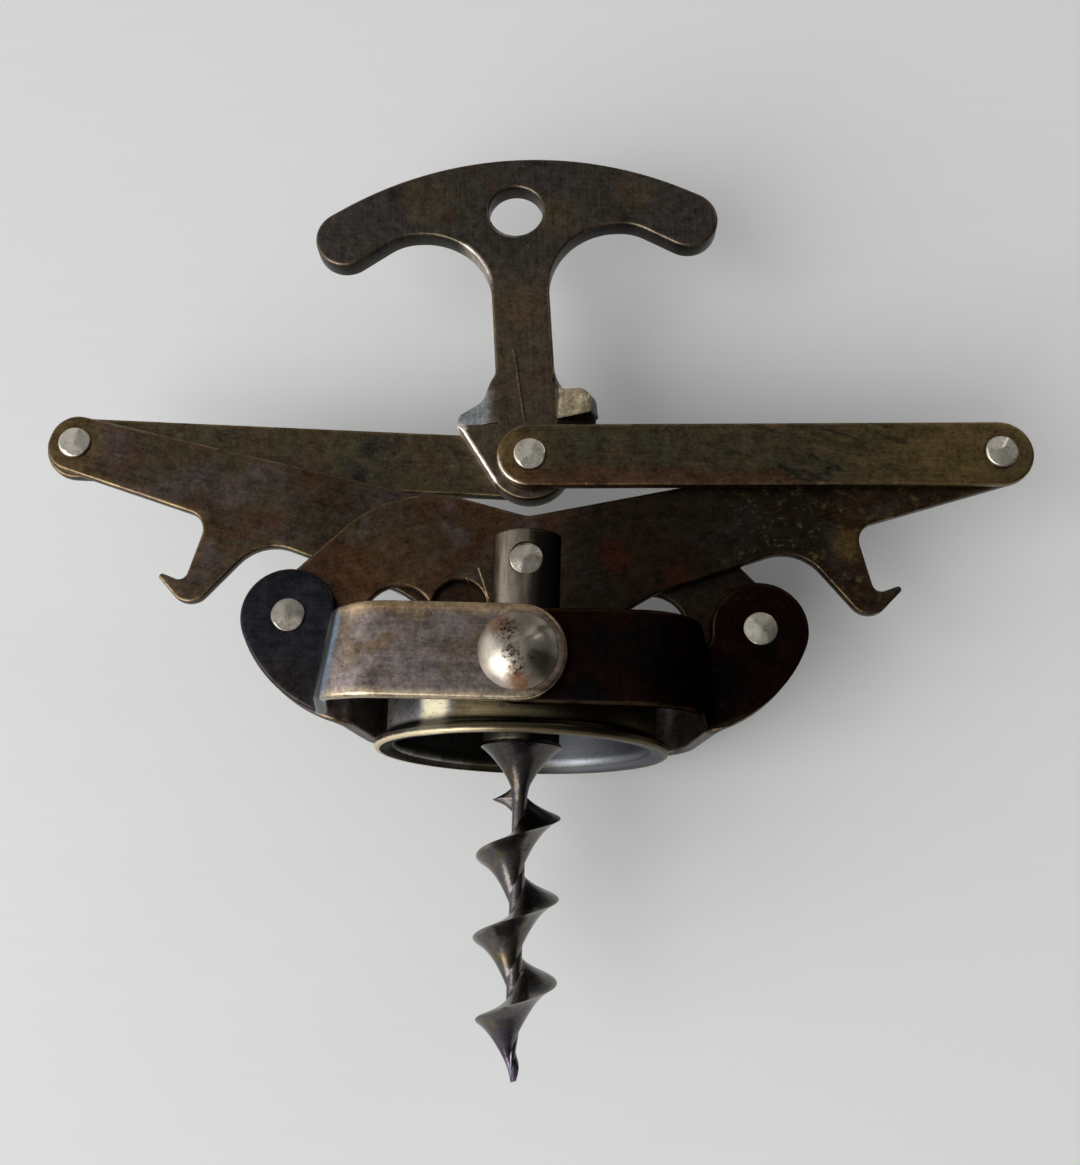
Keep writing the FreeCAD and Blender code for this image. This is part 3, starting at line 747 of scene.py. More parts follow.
def collar_brass(name):
    """Spun brass with clouds of brown and olive tarnish and drawn lines round it, a rougher bore, and painted
    light and shade: the tube pale grey on its left and dark on its right, a painted highlight band down
    its left side, a painted shadow band behind the rim, a painted highlight on the rim's edge, and
    painted shade in the bore, lighter on its right."""
    s = sizes("collar")
    g = graph(name)
    at = g.place()
    cloud = g.noise(at, 5.0, 5.0, 0.6, 0.5)
    spots = g.noise(g.shifted(at, (7, 3, 1)), 1.3, 5.0, 0.68)
    x, y, z = (g.axis(at, k) for k in range(3))
    radius = (x * x + z * z) ** 0.5
    over = y + s.depth
    sway, fleck = cloud - 0.5, spots - 0.5
    # Painted highlight: a pale yellow band down the tube's left side, also made less metallic below so that
    # it shows as light.
    band = g.between(abs(x + 9.5 + sway * 1.2), 2.1, 1.0) * g.between(z, 2.0, 6.0)
    # Painted shadow: a dark band on the tube just behind the rim.
    behind = g.between(over + fleck * 0.4, 2.7, 1.7) * g.between(over, 1.10, 1.25)
    flange = g.between(radius, s.bore + 1.45, s.bore + 1.65) * g.between(over, 1.25, 1.10)
    # Painted highlight along the rim's edge.
    bright = flange * g.between(over + fleck * 0.3, 0.50, 0.26)
    bright = bright * g.between(radius, s.rim - 0.80, s.rim - 0.55)
    mouth = g.between(radius, s.rim - 0.55, s.rim - 0.80) * g.between(over, 0.62, 0.50)
    inner = mouth.most(g.between(radius, s.bore + 0.7, s.bore + 0.1) * g.between(over, -0.5, 0.0))
    # Painted light and shade: the tube pale grey on its left and brown on its right.
    ground = g.mix(g.between(x + sway * 3.0, -8.6, -6.4), (0.66, 0.64, 0.63), (0.24, 0.20, 0.115))
    # Painted light and shade on the rim: gold on its left, dark on its right.
    shine = g.mix(g.between(x + sway * 6.0, -9.0, 0.0), (0.66, 0.54, 0.33), (0.10, 0.078, 0.045))
    # Painted shade in the bore: dark on its left, lighter grey on its right.
    hollow = g.mix(g.between(x, 0.0, 7.0), (0.014, 0.012, 0.009), (0.21, 0.22, 0.24))
    tone = g.stained(ground, (band, 0.9, (1.0, 0.90, 0.60)),
                     (g.between(cloud, 0.46, 0.64), 0.55, (0.19, 0.155, 0.085)),
                     (g.between(spots, 0.50, 0.64), 0.6 - 0.35 * band, (0.085, 0.070, 0.045)),
                     # Painted shade over the tube's right side.
                     (g.between(x, -1.0, 8.0), 0.80, (0.045, 0.034, 0.022)),
                     (behind, 0.80, (0.030, 0.024, 0.014)),
                     (flange, 0.90, g.mix(bright, (0.040, 0.031, 0.018), shine)), (inner, 0.95, hollow),
                     (g.between(g.noise(at, 0.32, 2.0), 0.38, 0.31), 0.5, (0.035, 0.028, 0.020)))
    rings = g.noise(g.stretched(at, 0, (60.0, 0.12, 60.0)), 1.0, 2.0)
    height = rings * 0.5 + g.noise(at, 0.6, 3.0) * 0.6
    metal = 1.0 - (0.80 * band).most(0.5 * bright)
    return g.finish(g.dimmed(tone, 0.78 + 0.42 * rings), 0.17 + 0.20 * cloud + 0.12 * spots + 0.10 * inner,
                    height, 0.014, metal, 0.35)


def shaft_brass(name):
    """Turned rod, grey brown and satin, with fine lines round it and darker smears down it."""
    g = graph(name)
    at = g.place()
    smear = g.noise(g.stretched(at, 0, (1.2, 9.0, 1.2)), 1.0, 4.0, 0.6)
    grain = g.noise(at, 0.4, 3.0)
    dirt = g.between(g.noise(at, 0.8, 4.0, 0.7), 0.60, 0.70)
    shade = g.between(g.axis(at, 0) + (smear - 0.5) * 1.5, -0.2, 1.6)
    tone = g.mix(g.between(smear, 0.42, 0.66), tones()["shaft"], (0.11, 0.088, 0.062))
    tone = g.stained(tone, (dirt, 0.6, (0.045, 0.035, 0.024)), (shade, 0.92, (0.014, 0.011, 0.008)))
    lines = g.noise(g.stretched(at, 0, (30.0, 0.10, 30.0)), 1.0, 1.0)
    return g.finish(g.dimmed(tone, 0.70 + 0.55 * grain), 0.28 + 0.12 * smear,
                    lines * 0.5 + grain * 0.4, 0.014, edge=0.35)


def worm_steel(name):
    """Dark burnished steel: brown and gold stains at the top, painted shade near the top where it comes out
    of the collar, blue and violet temper colours low down, bright rubs along the edge and shallow dents."""
    g = graph(name)
    at = g.place()
    x, y, z = (g.axis(at, k) for k in range(3))
    blade_edge = sizes("worm").blade
    cloud = g.noise(at, 2.6, 5.0, 0.64, 0.4)
    low = g.between(y, -34.0, -52.0)
    tan = g.between(g.noise(g.shifted(at, (9, 0, 2)), 1.9, 5.0, 0.66), 0.50, 0.64)
    rust = g.between(g.noise(g.shifted(at, (1, 5, 8)), 1.0, 5.0, 0.72), 0.60, 0.68)
    rub = g.between((x * x + z * z) ** 0.5 + (cloud - 0.5) * 0.9, blade_edge - 0.55, blade_edge - 0.1)
    tone = g.stained(tones()["worm"], (g.between(cloud, 0.42, 0.58), low, (0.085, 0.070, 0.115)),
                     (tan, 0.85 - 0.55 * low, (0.155, 0.118, 0.066)))
    tone = g.dimmed(tone, 0.42 + 1.16 * g.noise(at, 0.7, 4.0, 0.68))
    # Painted shade: darker towards the top, where the worm comes out of the collar.
    tone = g.dimmed(tone, 1 - 0.42 * g.between(y, -20.0, -15.0))
    tone = g.stained(tone, (rub * 0.55, g.between(y, -18.0, -24.0), (0.34, 0.30, 0.24)),
                     (rust, 0.6, (0.060, 0.034, 0.022)))
    height = g.noise(at, 1.2, 4.0, 0.6) * 0.8 + g.noise(at, 0.3, 2.0) * 0.2
    return g.finish(tone, 0.13 + 0.20 * cloud + 0.3 * rust, height, 0.05)


# ---- pieces

def lever_loops(s, p):
    """The lever's outline in its own frame, with the ear rivet at the origin and the outer rivet along +x:
    a lobe, a hump, a long back, a round end, a cap hook, a belly, and an edge with two bites. Corners are
    (x, y, radius)."""
    end = ARM + REACH
    step = p.rim_step
    tip = end + s.end - 0.1
    outline = rounded([
        (-s.lobe, 1.5 - s.lobe * 1.22, 5.0), (8.9, -5.0, 0), (9.3, -3.6, 0), (23.6, -3.6, 0),
        (ARM - 4.6, -s.belly, 2.2), (ARM + 8.0, -s.belly, 6.0), (ARM + 14.5, -7.4, 8.0),
        (end - 27.9, -5.6, 6.0), (end - 22.2, -s.hook, 2.6), (end - 15.7, -13.2, 0.4),
        (end - 20.3, -13.7, 1.1), (end - 20.3, -4.9, 2.5), (tip, -s.end, 3.5), (tip, s.end + 0.1, 3.5),
        (ARM + 1.6, 6.2, 3.0), (16.5, s.hump, 16.0), (-s.lobe, 1.9, 3.0)], step)
    outline = bitten(outline, (12.9, -3.3), s.left_bite, step)
    outline = bitten(outline, (20.6, -3.3), s.right_bite, step)
    return [outline] + holes([(0, 0), (ARM, 0), (end, 0)], HOLE, step)


def bitten(outline, centre, radius, step):
    """The outline with a round bite out of its edge: the run of points inside the circle gives way to the
    arc between the places where the outline enters and leaves it."""
    gone = np.linalg.norm(outline - centre, axis=1) < radius
    first = int(np.flatnonzero(gone & ~np.roll(gone, 1))[0])
    outline, gone = np.roll(outline, -first, axis=0), np.roll(gone, -first)
    before, after = outline[-1], outline[~gone][0]
    start = math.atan2(*(before - centre)[::-1])
    end = math.atan2(*(after - centre)[::-1])
    return np.vstack([outline[~gone], arc(centre, radius, start, start - (start - end) % TAU, step)])


def facing(points, heights, flip):
    """Flat points and heights as points in space, or the same plate turned half round the worm's axis."""
    side = -1 if flip else 1
    return np.stack([points[:, 0] * side, points[:, 1], heights * side], 1)


def smooth_step(x):
    x = np.clip(x, 0, 1)
    return x * x * (3 - 2 * x)


class CORKSCREW_OT_levers(bpy.types.Operator):
    """Builds the two crossed levers"""
    bl_idname = "corkscrew.levers"
    bl_label = "Levers"

    def execute(self, context):
        s, p = sizes("lever"), sizes("plates")
        loops = lever_loops(s, p)
        middle = sum(layer("right_lever")) / 2
        t = tones()
        finishes = {
            "right_lever": patina("right_lever_patina", [
                t["umber"], (t["russet"], 9.0, 0.40, 0.60), (t["violet"], 6.0, 0.52, 0.68),
                (t["olive"], 7.0, 0.54, 0.70)], 1.0, gloss=0.40, wear=0.35, brush=14.7, light=0.95,
                marks=right_lever_marks),
            "left_lever": patina("left_lever_patina", [
                t["umber"], (t["violet"], 11.0, 0.42, 0.62), (t["olive"], 8.0, 0.48, 0.66),
                (t["russet"], 6.0, 0.50, 0.70)], 2.0, gloss=0.38, wear=0.42, band=1.6, brush=-14.7,
                light=1.02, marks=left_lever_marks)}
        for name, flip in (("right_lever", False), ("left_lever", True)):
            def place(flat, height):
                return facing(seated(flat, REST_ANGLE, (-EAR[0], EAR[1])), height + middle, flip)
            points, faces, rim = plate_surface(loops, PLATE, p.edge_round, place, p.mesh_step)
            add_piece(name, points, faces, name, finishes[name], rim)
        return {"FINISHED"}


def right_lever_marks(g, at, tone, rough, height):
    """Almost black right of the shaft, with olive specks and red stains there, a brassy rub on the hook,
    and whisker scratches beside the inner bite."""
    ragged = g.ragged(at, 2.2, 7.0)
    x = g.axis(at, 0)
    night = g.between(x + ragged, 0.5, 8.0) * (1 - 0.50 * g.between(x + ragged * 0.7, 35.0, 42.0))
    olive = g.between(g.noise(g.shifted(at, (40, 3, 0)), 1.6, 6.0, 0.75), 0.52, 0.66)
    olive = olive * g.between(x, 20.0, 32.0)
    red = g.spot(at, (10.9, 12.8), 1.0, 2.4, ragged * 0.6)
    red = red.most(g.spot(at, (19.0, 10.2), 0.7, 2.2, ragged * 0.6))
    glow = g.spot(at, (-17.0, 9.0), 3.5, 5.0, ragged * 0.8)
    rub = g.spot(at, (40.0, 15.0), 0.8, 2.2, ragged * 0.4)
    cuts = g.strokes(at, (((-6.05, 11.0), (-4.65, 7.1), 0.10), ((-7.5, 9.7), (-5.6, 6.9), 0.09),
                          ((-5.4, 9.6), (-4.9, 7.3), 0.06)))
    tone = g.stained(tone, (night, 0.78, (0.010, 0.0088, 0.0060)), (olive, 0.85, (0.125, 0.106, 0.045)),
                     (red, 0.42, (0.070, 0.014, 0.007)), (glow, 0.35, (0.105, 0.052, 0.022)),
                     (rub, 0.65, (0.150, 0.095, 0.032)), (cuts, 0.75, (0.46, 0.38, 0.24)))
    return tone, rough - cuts * 0.08, height - cuts * 1.2


def left_lever_marks(g, at, tone, rough, height):
    """Darker towards the crossing, with a golden brown rim of wear round the outer rivet."""
    ragged = g.ragged(at, 2.2, 6.0)
    x = g.axis(at, 0)
    rub = g.spot(at, (-OUTER[0], OUTER[1]), 3.2, 1.5, ragged * 0.25)
    tone = g.stained(tone, (g.between(x + ragged, -34.0, -24.0), 0.45, (0.022, 0.016, 0.012)),
                     (g.between(x + ragged, 4.0, 14.0), 0.7, (0.012, 0.008, 0.006)),
                     (rub, 0.40, tones()["gold"]))
    return tone, rough, height


class CORKSCREW_OT_links(bpy.types.Operator):
    """Builds the two straight links"""
    bl_idname = "corkscrew.links"
    bl_label = "Links"

    def execute(self, context):
        s, p = sizes("link"), sizes("plates")
        loops = [rounded([(-s.half, -s.half, s.half), (LINK + s.half, -s.half, s.half),
                          (LINK + s.half, s.half, s.half), (-s.half, s.half, s.half)], p.rim_step)]
        loops += holes([(0, 0), (LINK, 0)], HOLE, p.rim_step)
        t = tones()
        finishes = {
            "right_link": patina("right_link_patina", [
                t["olive"], (t["umber"], 7.0, 0.44, 0.64), (t["ink"], 9.0, 0.56, 0.72)],
                3.0, gloss=0.40, wear=0.45, band=0.9, light=1.2, marks=right_link_marks),
            "left_link": patina("left_link_patina", [
                t["olive"], (t["umber"], 8.0, 0.40, 0.60), (t["ink"], 6.0, 0.54, 0.70)],
                4.0, gloss=0.40, wear=0.40, light=1.22)}
        for name, flip in (("right_link", False), ("left_link", True)):
            middle = abs(sum(layer(name)) / 2)

            def place(flat, height):
                return facing(seated(flat, DIP, HANDLE_PIVOT), height + middle, flip)
            points, faces, rim = plate_surface(loops, PLATE, p.edge_round, place, p.mesh_step)
            add_piece(name, points, faces, name, finishes[name], rim)
        return {"FINISHED"}


def right_link_marks(g, at, tone, rough, height):
    """Golden brown round the two rivets and towards the outer end, slanting dark and golden streaks there,
    and a near white painted highlight on the rounded edge by the handle rivet."""
    ragged = g.ragged(at, 1.2, 3.4)
    x, y = g.axis(at, 0), g.axis(at, 1)
    ring = g.spot(at, HANDLE_PIVOT - [1.4, 0.2, 0], 2.2, 2.8, ragged)
    # Painted highlight: near white on the rounded edge at the lower left of the link's end by the handle
    # rivet.
    edge_patch = g.spot(at, HANDLE_PIVOT - [3.3, 2.9, 0], 0.9, 2.4) * g.between(g.rim(), 0.55, 0.25)
    golden = g.between(x + ragged * 2.4, 34.0, 54.0)
    low = g.between(y + ragged * 0.3, 24.9, 23.4) * g.between(x + ragged * 2.0, 40.0, 30.0)
    lean = g.noise(g.stretched(g.shifted(at, (4, 2, 0)), -19, (11.0, 1.9, 11.0)), 1.0, 5.0, 0.66, 0.8)
    zone = g.spot(at, (35.0, 27.6), 6.0, 12.0)
    tone = g.stained(tone, (ring, 0.62, (0.155, 0.098, 0.036)), (edge_patch, 0.9, (0.85, 0.76, 0.60)),
                     (golden, 0.72, (0.135, 0.092, 0.034)), (low, 0.55, (0.085, 0.034, 0.018)),
                     (g.between(lean, 0.53, 0.60) * zone, 0.75, (0.014, 0.017, 0.016)),
                     (g.between(lean, 0.46, 0.40) * zone, 0.4, (0.115, 0.078, 0.030)))
    return tone, rough, height


class CORKSCREW_OT_handle(bpy.types.Operator):
    """Builds the T handle with its two bent stops"""
    bl_idname = "corkscrew.handle"
    bl_label = "Handle"

    def execute(self, context):
        s, p = sizes("handle"), sizes("plates")
        low, high = layer("handle_rivet_front")[0], layer("right_lever")[1]
        half = sizes("link").half
        stop = (half / math.cos(DIP) + s.foot_half * math.tan(DIP) + STOP_GAP
                + s.foot_half * math.sin(s.lean)) / math.cos(s.lean)
        loops = handle_loops(s, p, stop)

        def place(flat, height):
            flat, height = bent_tabs(flat, height, s, stop - 0.1)
            return facing(seated(flat, s.lean, HANDLE_PIVOT), height, False)

        def sheared(flat):
            near = 1 - smooth_step((np.abs(flat[:, 1] - stop + 0.1) - 0.15) / 0.9)
            return near * smooth_step((np.abs(flat[:, 0]) - s.stem_half + 0.9) / 0.6)
        out = s.stem_half + s.tab_bend * np.linspace(-0.05, 0.55, 7)
        gx, gy = np.meshgrid(np.concatenate([out, -out]), np.arange(stop, s.tab_top + 2.0, 0.35))
        points, faces, rim = plate_surface(loops, high - low, p.edge_round * 1.2, place, p.mesh_step, sheared,
                                           np.stack([gx.ravel(), gy.ravel()], 1))
        t = tones()
        finish = patina("handle_patina", [
            (0.054, 0.045, 0.040), ((0.050, 0.045, 0.034), 8.0, 0.42, 0.64), (t["russet"], 5.0, 0.56, 0.76),
            (t["ink"], 6.0, 0.54, 0.78)], 5.0, gloss=0.38, wear=0.16, band=0.7, light=1.16, brush=-86.0,
            marks=handle_marks)
        add_piece("handle", points, faces, "handle", finish, rim)
        return {"FINISHED"}


def handle_loops(s, p, stop):
    """The handle's outline in its own frame, standing upright on its rivet: a crossbar with a crowned top,
    a stem, two stops over narrow slits, and a foot whose sides run down to a round end. The left stop
    slopes more."""
    step = p.rim_step
    slit = stop - SLIT
    corner = np.array([s.foot_half, slit])
    away = math.acos(s.foot / np.linalg.norm(corner))
    aim = math.atan2(corner[1], corner[0]) - away
    crown_turn = math.asin(23.0 / s.crown)
    crown = s.crown_top - s.crown + s.crown / math.cos(crown_turn)
    bar_end = crown - 29.2 * math.tan(crown_turn)

    def bar(side):
        return [(side * s.stem_half, 33.2, 9.3), (side * 15.6, 33.2, 7.0), (side * 24.2, 27.9, 3.9),
                (side * 29.2, bar_end, 4.2)]

    def slot(side):
        return [(side * s.foot_half, slit, 0.4), (side * s.stem_half, slit, 0), (side * s.stem_half, stop, 0),
                (side * s.foot_half, stop, 0.3)]
    right = slot(1) + [(s.foot_half, s.tab_top - 1.0, 1.9), (s.stem_half + 1.05, s.tab_top - 0.3, 1.4),
                       (s.stem_half, 12.2, 2.0)] + bar(1)
    left = slot(-1) + [(-s.foot_half, stop + 1.8, 1.2), (-s.stem_half - 1.5, s.tab_top - 1.2, 2.2),
                       (-s.stem_half, 12.4, 3.0)] + bar(-1)
    loop = rounded([(0, -s.foot - 20, 0)] + right + [(0, crown, s.crown)] + left[::-1], step)
    loop = loop[loop[:, 1] >= slit - 1e-6]
    start = int(np.argmin(np.abs(loop - corner) @ [1, 9]))
    loop = np.roll(loop, -start, axis=0)
    tangent = s.foot * np.array([math.cos(aim), math.sin(aim)])
    foot = np.vstack([line((-corner[0], slit), (-tangent[0], tangent[1]), step),
                      arc((0, 0), s.foot, math.pi - aim, TAU + aim, step), line(tangent, corner, step)])
    return [np.vstack([loop, foot])] + holes([(0, 36.0)], s.hole, step) + holes([(0, 0)], HOLE, step)


def bent_tabs(flat, height, s, over):
    """Bends what lies beside the stem and over the slits: right forward, left back. Across a short arc the
    sheet turns steadily, and beyond it the rest goes on straight."""
    side = np.sign(flat[:, 0])
    most = np.where(side > 0, s.right_turn, s.left_turn)
    out = np.abs(flat[:, 0]) - s.stem_half
    tab = (out > 0) & (flat[:, 1] > over) & (flat[:, 1] < s.tab_top + 3.5)
    fade = 1 - smooth_step((flat[:, 1] - s.tab_top - 0.4) / 2.4)
    angle = np.clip(out / s.tab_bend, 0, most) * fade
    straight = np.clip(out - s.tab_bend * most, 0, None)
    x = (s.stem_half + s.tab_bend * np.sin(angle) + (out - straight - s.tab_bend * angle)
         + straight * np.cos(angle) - side * height * np.sin(angle))
    rise = s.tab_bend * (1 - np.cos(angle)) + straight * np.sin(angle)
    bent = np.stack([np.where(tab, side * x, flat[:, 0]), flat[:, 1]], 1)
    return bent, np.where(tab, side * rise + height * np.cos(angle), height)


def handle_marks(g, at, tone, rough, height):
    """A browner, lighter stem with a long scratch down it and a painted shadow beside the scratch, golden
    blotches on the crossbar, and painted light and shade: the right stop painted dark with a brassy painted
    highlight on its face and a painted shadow under it, the left stop a blue grey painted reflection, and
    painted highlights on edges at the foot and higher up."""
    ragged = g.ragged(at, 1.8, 5.0)
    x, y = g.axis(at, 0), g.axis(at, 1)
    tone = g.stained(tone, (g.between(y + ragged, 56.0, 48.0), 0.42, (0.105, 0.072, 0.040)))
    blotches = (((2.5, 60.8), 1.6), ((-15.0, 63.0), 2.2), ((13.0, 64.5), 1.2), ((-2.0, 47.5), 1.4))
    for centre, radius in blotches:
        tone = g.stained(tone, (g.spot(at, centre, radius, 2.6, ragged * 0.7), 0.32, (0.120, 0.080, 0.034)))
    cut = g.stroke(at, (-2.7, 40.9), (-1.05, 31.1), 0.17)
    shade = g.stroke(at, (-2.35, 40.9), (-0.70, 31.1), 0.16)
    upright = y - x * math.tan(sizes("handle").lean)
    tab = g.between(upright, 30.90, 31.05) * g.between(upright + ragged * 0.2, 36.3, 35.4)
    # Painted shade: the whole right stop dark; the painted highlight below then lights most of its face.
    right = tab * g.between(x, 3.35, 3.6)
    # Painted reflection: the left stop, bent back towards the light on the left, in a pale blue grey.
    left = tab * g.between(x + ragged * 0.12, -4.6, -6.6)
    # Painted highlight: the part of the right stop's face that is turned to the light, in the brassy colour
    # below.
    lit = right * g.between(x + ragged * 0.08, 7.9, 7.3) * g.between(upright, 31.0, 31.4)
    brassy = g.mix(g.between(ragged, -1.2, 0.9), (0.46, 0.38, 0.26), (0.20, 0.165, 0.10))
    # Painted shadow: black under the right stop, down to the link.
    under = g.between(upright, 31.0, 30.9) * g.between(upright, 28.0, 29.0) * g.between(x, 3.2, 3.6)
    # Painted highlights on the rounded edges: along the foot's left side and at one spot higher up.
    foot = g.stroke(at, (-9.3, 30.0), (-4.8, 23.0), 1.1)
    foot = foot.most(g.spot(at, (-5.9, 55.0), 2.5, 2.5, ragged * 0.2) * 0.5) * g.between(g.rim(), 0.62, 0.30)
    tone = g.stained(tone, (cut, 0.42, (0.15, 0.115, 0.07)), (shade, 0.6, (0.010, 0.008, 0.006)),
                     (right, 0.88, (0.016, 0.013, 0.009)), (lit, 0.92, brassy),
                     (left, 0.80, (0.215, 0.235, 0.245)),
                     (under, 0.9, (0.006, 0.005, 0.004)), (foot, 0.85, (0.80, 0.70, 0.60)))
    return tone, rough - lit * 0.12 - left * 0.06, height - cut * 1.2


class CORKSCREW_OT_straps(bpy.types.Operator):
    """Builds the four bent straps"""
    bl_idname = "corkscrew.straps"
    bl_label = "Straps"

    def execute(self, context):
        s, p = sizes("strap"), sizes("plates")
        t = tones()
        satin = [t["satin"], ((0.135, 0.100, 0.075), 6.0, 0.42, 0.68),
                 ((0.200, 0.135, 0.075), 3.0, 0.52, 0.74)]
        dark = [(0.010, 0.0040, 0.0028), ((0.0045, 0.0038, 0.0040), 8.0, 0.46, 0.62),
                ((0.026, 0.0075, 0.004), 5.0, 0.58, 0.80)]
        finishes = {
            "front_left_strap": patina("front_left_strap_patina", satin, 6.0, gloss=0.36, wear=1.0, band=1.1,
                                       speckle=0.30, marks=left_strap_marks),
            "front_right_strap": patina("front_right_strap_patina", dark, 7.0, gloss=0.44, wear=0.10,
                                        light=0.9, speckle=0.0, edge=0.12),
            "back_left_strap": patina("back_left_strap_patina", satin, 8.0, gloss=0.38, wear=0.6, light=0.6),
            "back_right_strap": patina("back_right_strap_patina", satin, 9.0, gloss=0.36, wear=0.6,
                                       light=0.6)}
        rows = (("front_right_strap", "right_yoke", 1, 1, "front_right_strap"),
                ("front_left_strap", "left_yoke", -1, 1, "front_left_strap"),
                ("back_left_strap", "left_yoke", -1, -1, "front_right_strap"),
                ("back_right_strap", "right_yoke", 1, -1, "front_left_strap"))
        for name, body, side, face, like in rows:
            z_front = layer(like)[1] - PLATE / 2
            z_ear = layer(like)[0] + PLATE / 2
            shift = z_front - (layer("front_right_strap")[1] - PLATE / 2)
            path = strap_path(s, z_front, z_ear, shift)
            lean = 0.13 if name == "front_left_strap" else 0.02
            loops = strap_loops(s, p, path, lean)

            def place(flat, height):
                along = flat[:, 0] + lean * flat[:, 1]
                x = np.interp(along, path[:, 0], path[:, 1]) - lean * flat[:, 1]
                z = np.interp(along, path[:, 0], path[:, 2])
                tilt = np.interp(along, path[:, 0], path[:, 3])
                return np.stack([side * (x - height * np.sin(tilt)), flat[:, 1] + PIVOT[1],
                                 face * (z + height * np.cos(tilt))], 1)
            points, faces, rim = plate_surface(loops, PLATE, p.strap_round, place, p.mesh_step)
            add_piece(name, points, faces, body, finishes[name], rim)
        return {"FINISHED"}


def strap_path(s, z_front, z_ear, shift):
    """The bent sheet's middle line as rows of (length along it, x, z, tilt): flat over the collar, an arc
    down the side, and a crease into the ear."""
    far = EAR[0] + s.ear + 3 * PLATE
    corners = [(-s.half - PLATE, z_front, 0), (s.side + shift, z_front, s.bend),
               (s.crease + shift, z_ear, s.crease_bend), (far, z_ear, 0)]
    bent = rounded(corners + [(far, z_front + 60, 0), (-s.half - PLATE, z_front + 60, 0)], 0.05)
    last = int(np.argmin(np.abs(bent - [far, z_ear]).sum(1)))
    first = int(np.argmin(np.abs(bent - [-s.half - PLATE, z_front]).sum(1)))
    bent = np.roll(bent, -first, axis=0)[:(last - first) % len(bent) + 1]
    run = np.diff(bent, axis=0)
    along = np.concatenate([[0], np.cumsum(np.linalg.norm(run, axis=1))])
    tilt = np.arctan2(run[:, 1], run[:, 0])
    tilt = np.concatenate([tilt[:1], (tilt[1:] + tilt[:-1]) / 2, tilt[-1:]])
    return np.column_stack([along, bent, tilt])


def strap_loops(s, p, path, lean):
    """The strap's front outline, measured along the bent sheet: a round end on the collar rivet, a band,
    and an ear whose circle runs on into a larger one that touches the band's lower edge. Lean shifts the
    bends as Y falls."""
    at = (EAR - PIVOT)[:2]
    fine = 0.04
    turn_down = math.asin((s.ear_belly - at[1] - s.half) / (s.ear_belly - s.ear))
    belly = at - np.array([math.cos(turn_down), -math.sin(turn_down)]) * (s.ear_belly - s.ear)
    lowest = belly - [0, s.ear_belly]
    inmost = at - [s.ear, 0]
    root = np.array([inmost[0] - s.ear_root, s.half + s.ear_root])
    loop = np.vstack([
        arc((0, 0), s.half, math.pi / 2, 1.5 * math.pi, fine), line((0, -s.half), lowest, fine),
        arc(belly, s.ear_belly, -math.pi / 2, -turn_down, fine), arc(at, s.ear, -turn_down, math.pi, fine),
        line(inmost, root + [s.ear_root, 0], fine), arc(root, s.ear_root, 0, -math.pi / 2, fine),
        line(root - [0, s.ear_root], (0, s.half), fine)])
    loops = [loop] + holes([(0, 0)], DOME_HOLE, 0.1) + holes([at], HOLE, 0.1)
    unrolled = []
    for x, y in (loop.T for loop in loops):
        unrolled.append(np.column_stack([np.interp(x + lean * y, path[:, 1], path[:, 0]) - lean * y, y]))
    return [respaced(loop, p.rim_step) for loop in unrolled]


def left_strap_marks(g, at, tone, rough, height):
    """Blue black ear behind a slanting crease that carries a painted pale blue highlight, a golden upper
    edge, a painted golden highlight along the lower edge, and fine rubs on the front."""
    x, y = g.axis(at, 0), g.axis(at, 1)
    slant = x - (y - PIVOT[1]) * 0.13
    ragged = g.ragged(at, 2.0, 4.0)
    ear = g.between(slant + ragged * 0.03, -20.9, -21.3)
    # Painted highlight: pale blue light along the crease.
    crease = g.between(abs(slant + 20.8), 0.60, 0.10)
    brown = g.spot(at, (-29.5, -6.0), 3.0, 4.0, ragged)
    top = g.between(y + ragged * 0.2, PIVOT[1] + 3.5, PIVOT[1] + 4.8) * (1 - ear)
    # Painted highlight: golden light along the lower edge.
    base = g.between(y + ragged * 0.15, PIVOT[1] - 4.1, PIVOT[1] - 5.0) * (1 - ear)
    rubs = g.hairlines(at, 62, 3.0, 0.06, 0.50)
    rubs = rubs.most(g.hairlines(g.shifted(at, (3, 8, 0)), -28, 3.0, 0.06, 0.52)) * (1 - ear)
    tone = g.stained(tone, (ear, 0.95, (0.010, 0.013, 0.019)), (crease, 0.75, (0.17, 0.25, 0.35)),
                     (ear * brown, 0.4, (0.030, 0.021, 0.014)), (top, 0.65, (0.42, 0.29, 0.16)),
                     (base, 0.60, (0.52, 0.43, 0.30)), (rubs, 0.22, (0.45, 0.36, 0.26)))
    return tone, rough + ear * 0.04, height


class CORKSCREW_OT_collar(bpy.types.Operator):
    """Builds the spun collar"""
    bl_idname = "corkscrew.collar"
    bl_label = "Collar"

    def execute(self, context):
        s = sizes("collar")
        out = s.bore + s.wall
        profile = rounded([(s.bore, -s.depth, 1.7), (s.rim, -s.depth, 0.35), (s.rim, s.wall - s.depth, 0.4),
                           (out, s.wall - s.depth, 0.8), (out, s.wall, 1.5), (s.seat_hole, s.wall, 0.3),
                           (s.seat_hole, 0, 0.3), (s.bore, 0, 0.25)], 0.22)
        points, faces = lathed(profile, 360)
        add_piece("collar", along_y(points), faces, "collar", collar_brass("collar_brass"))
        return {"FINISHED"}


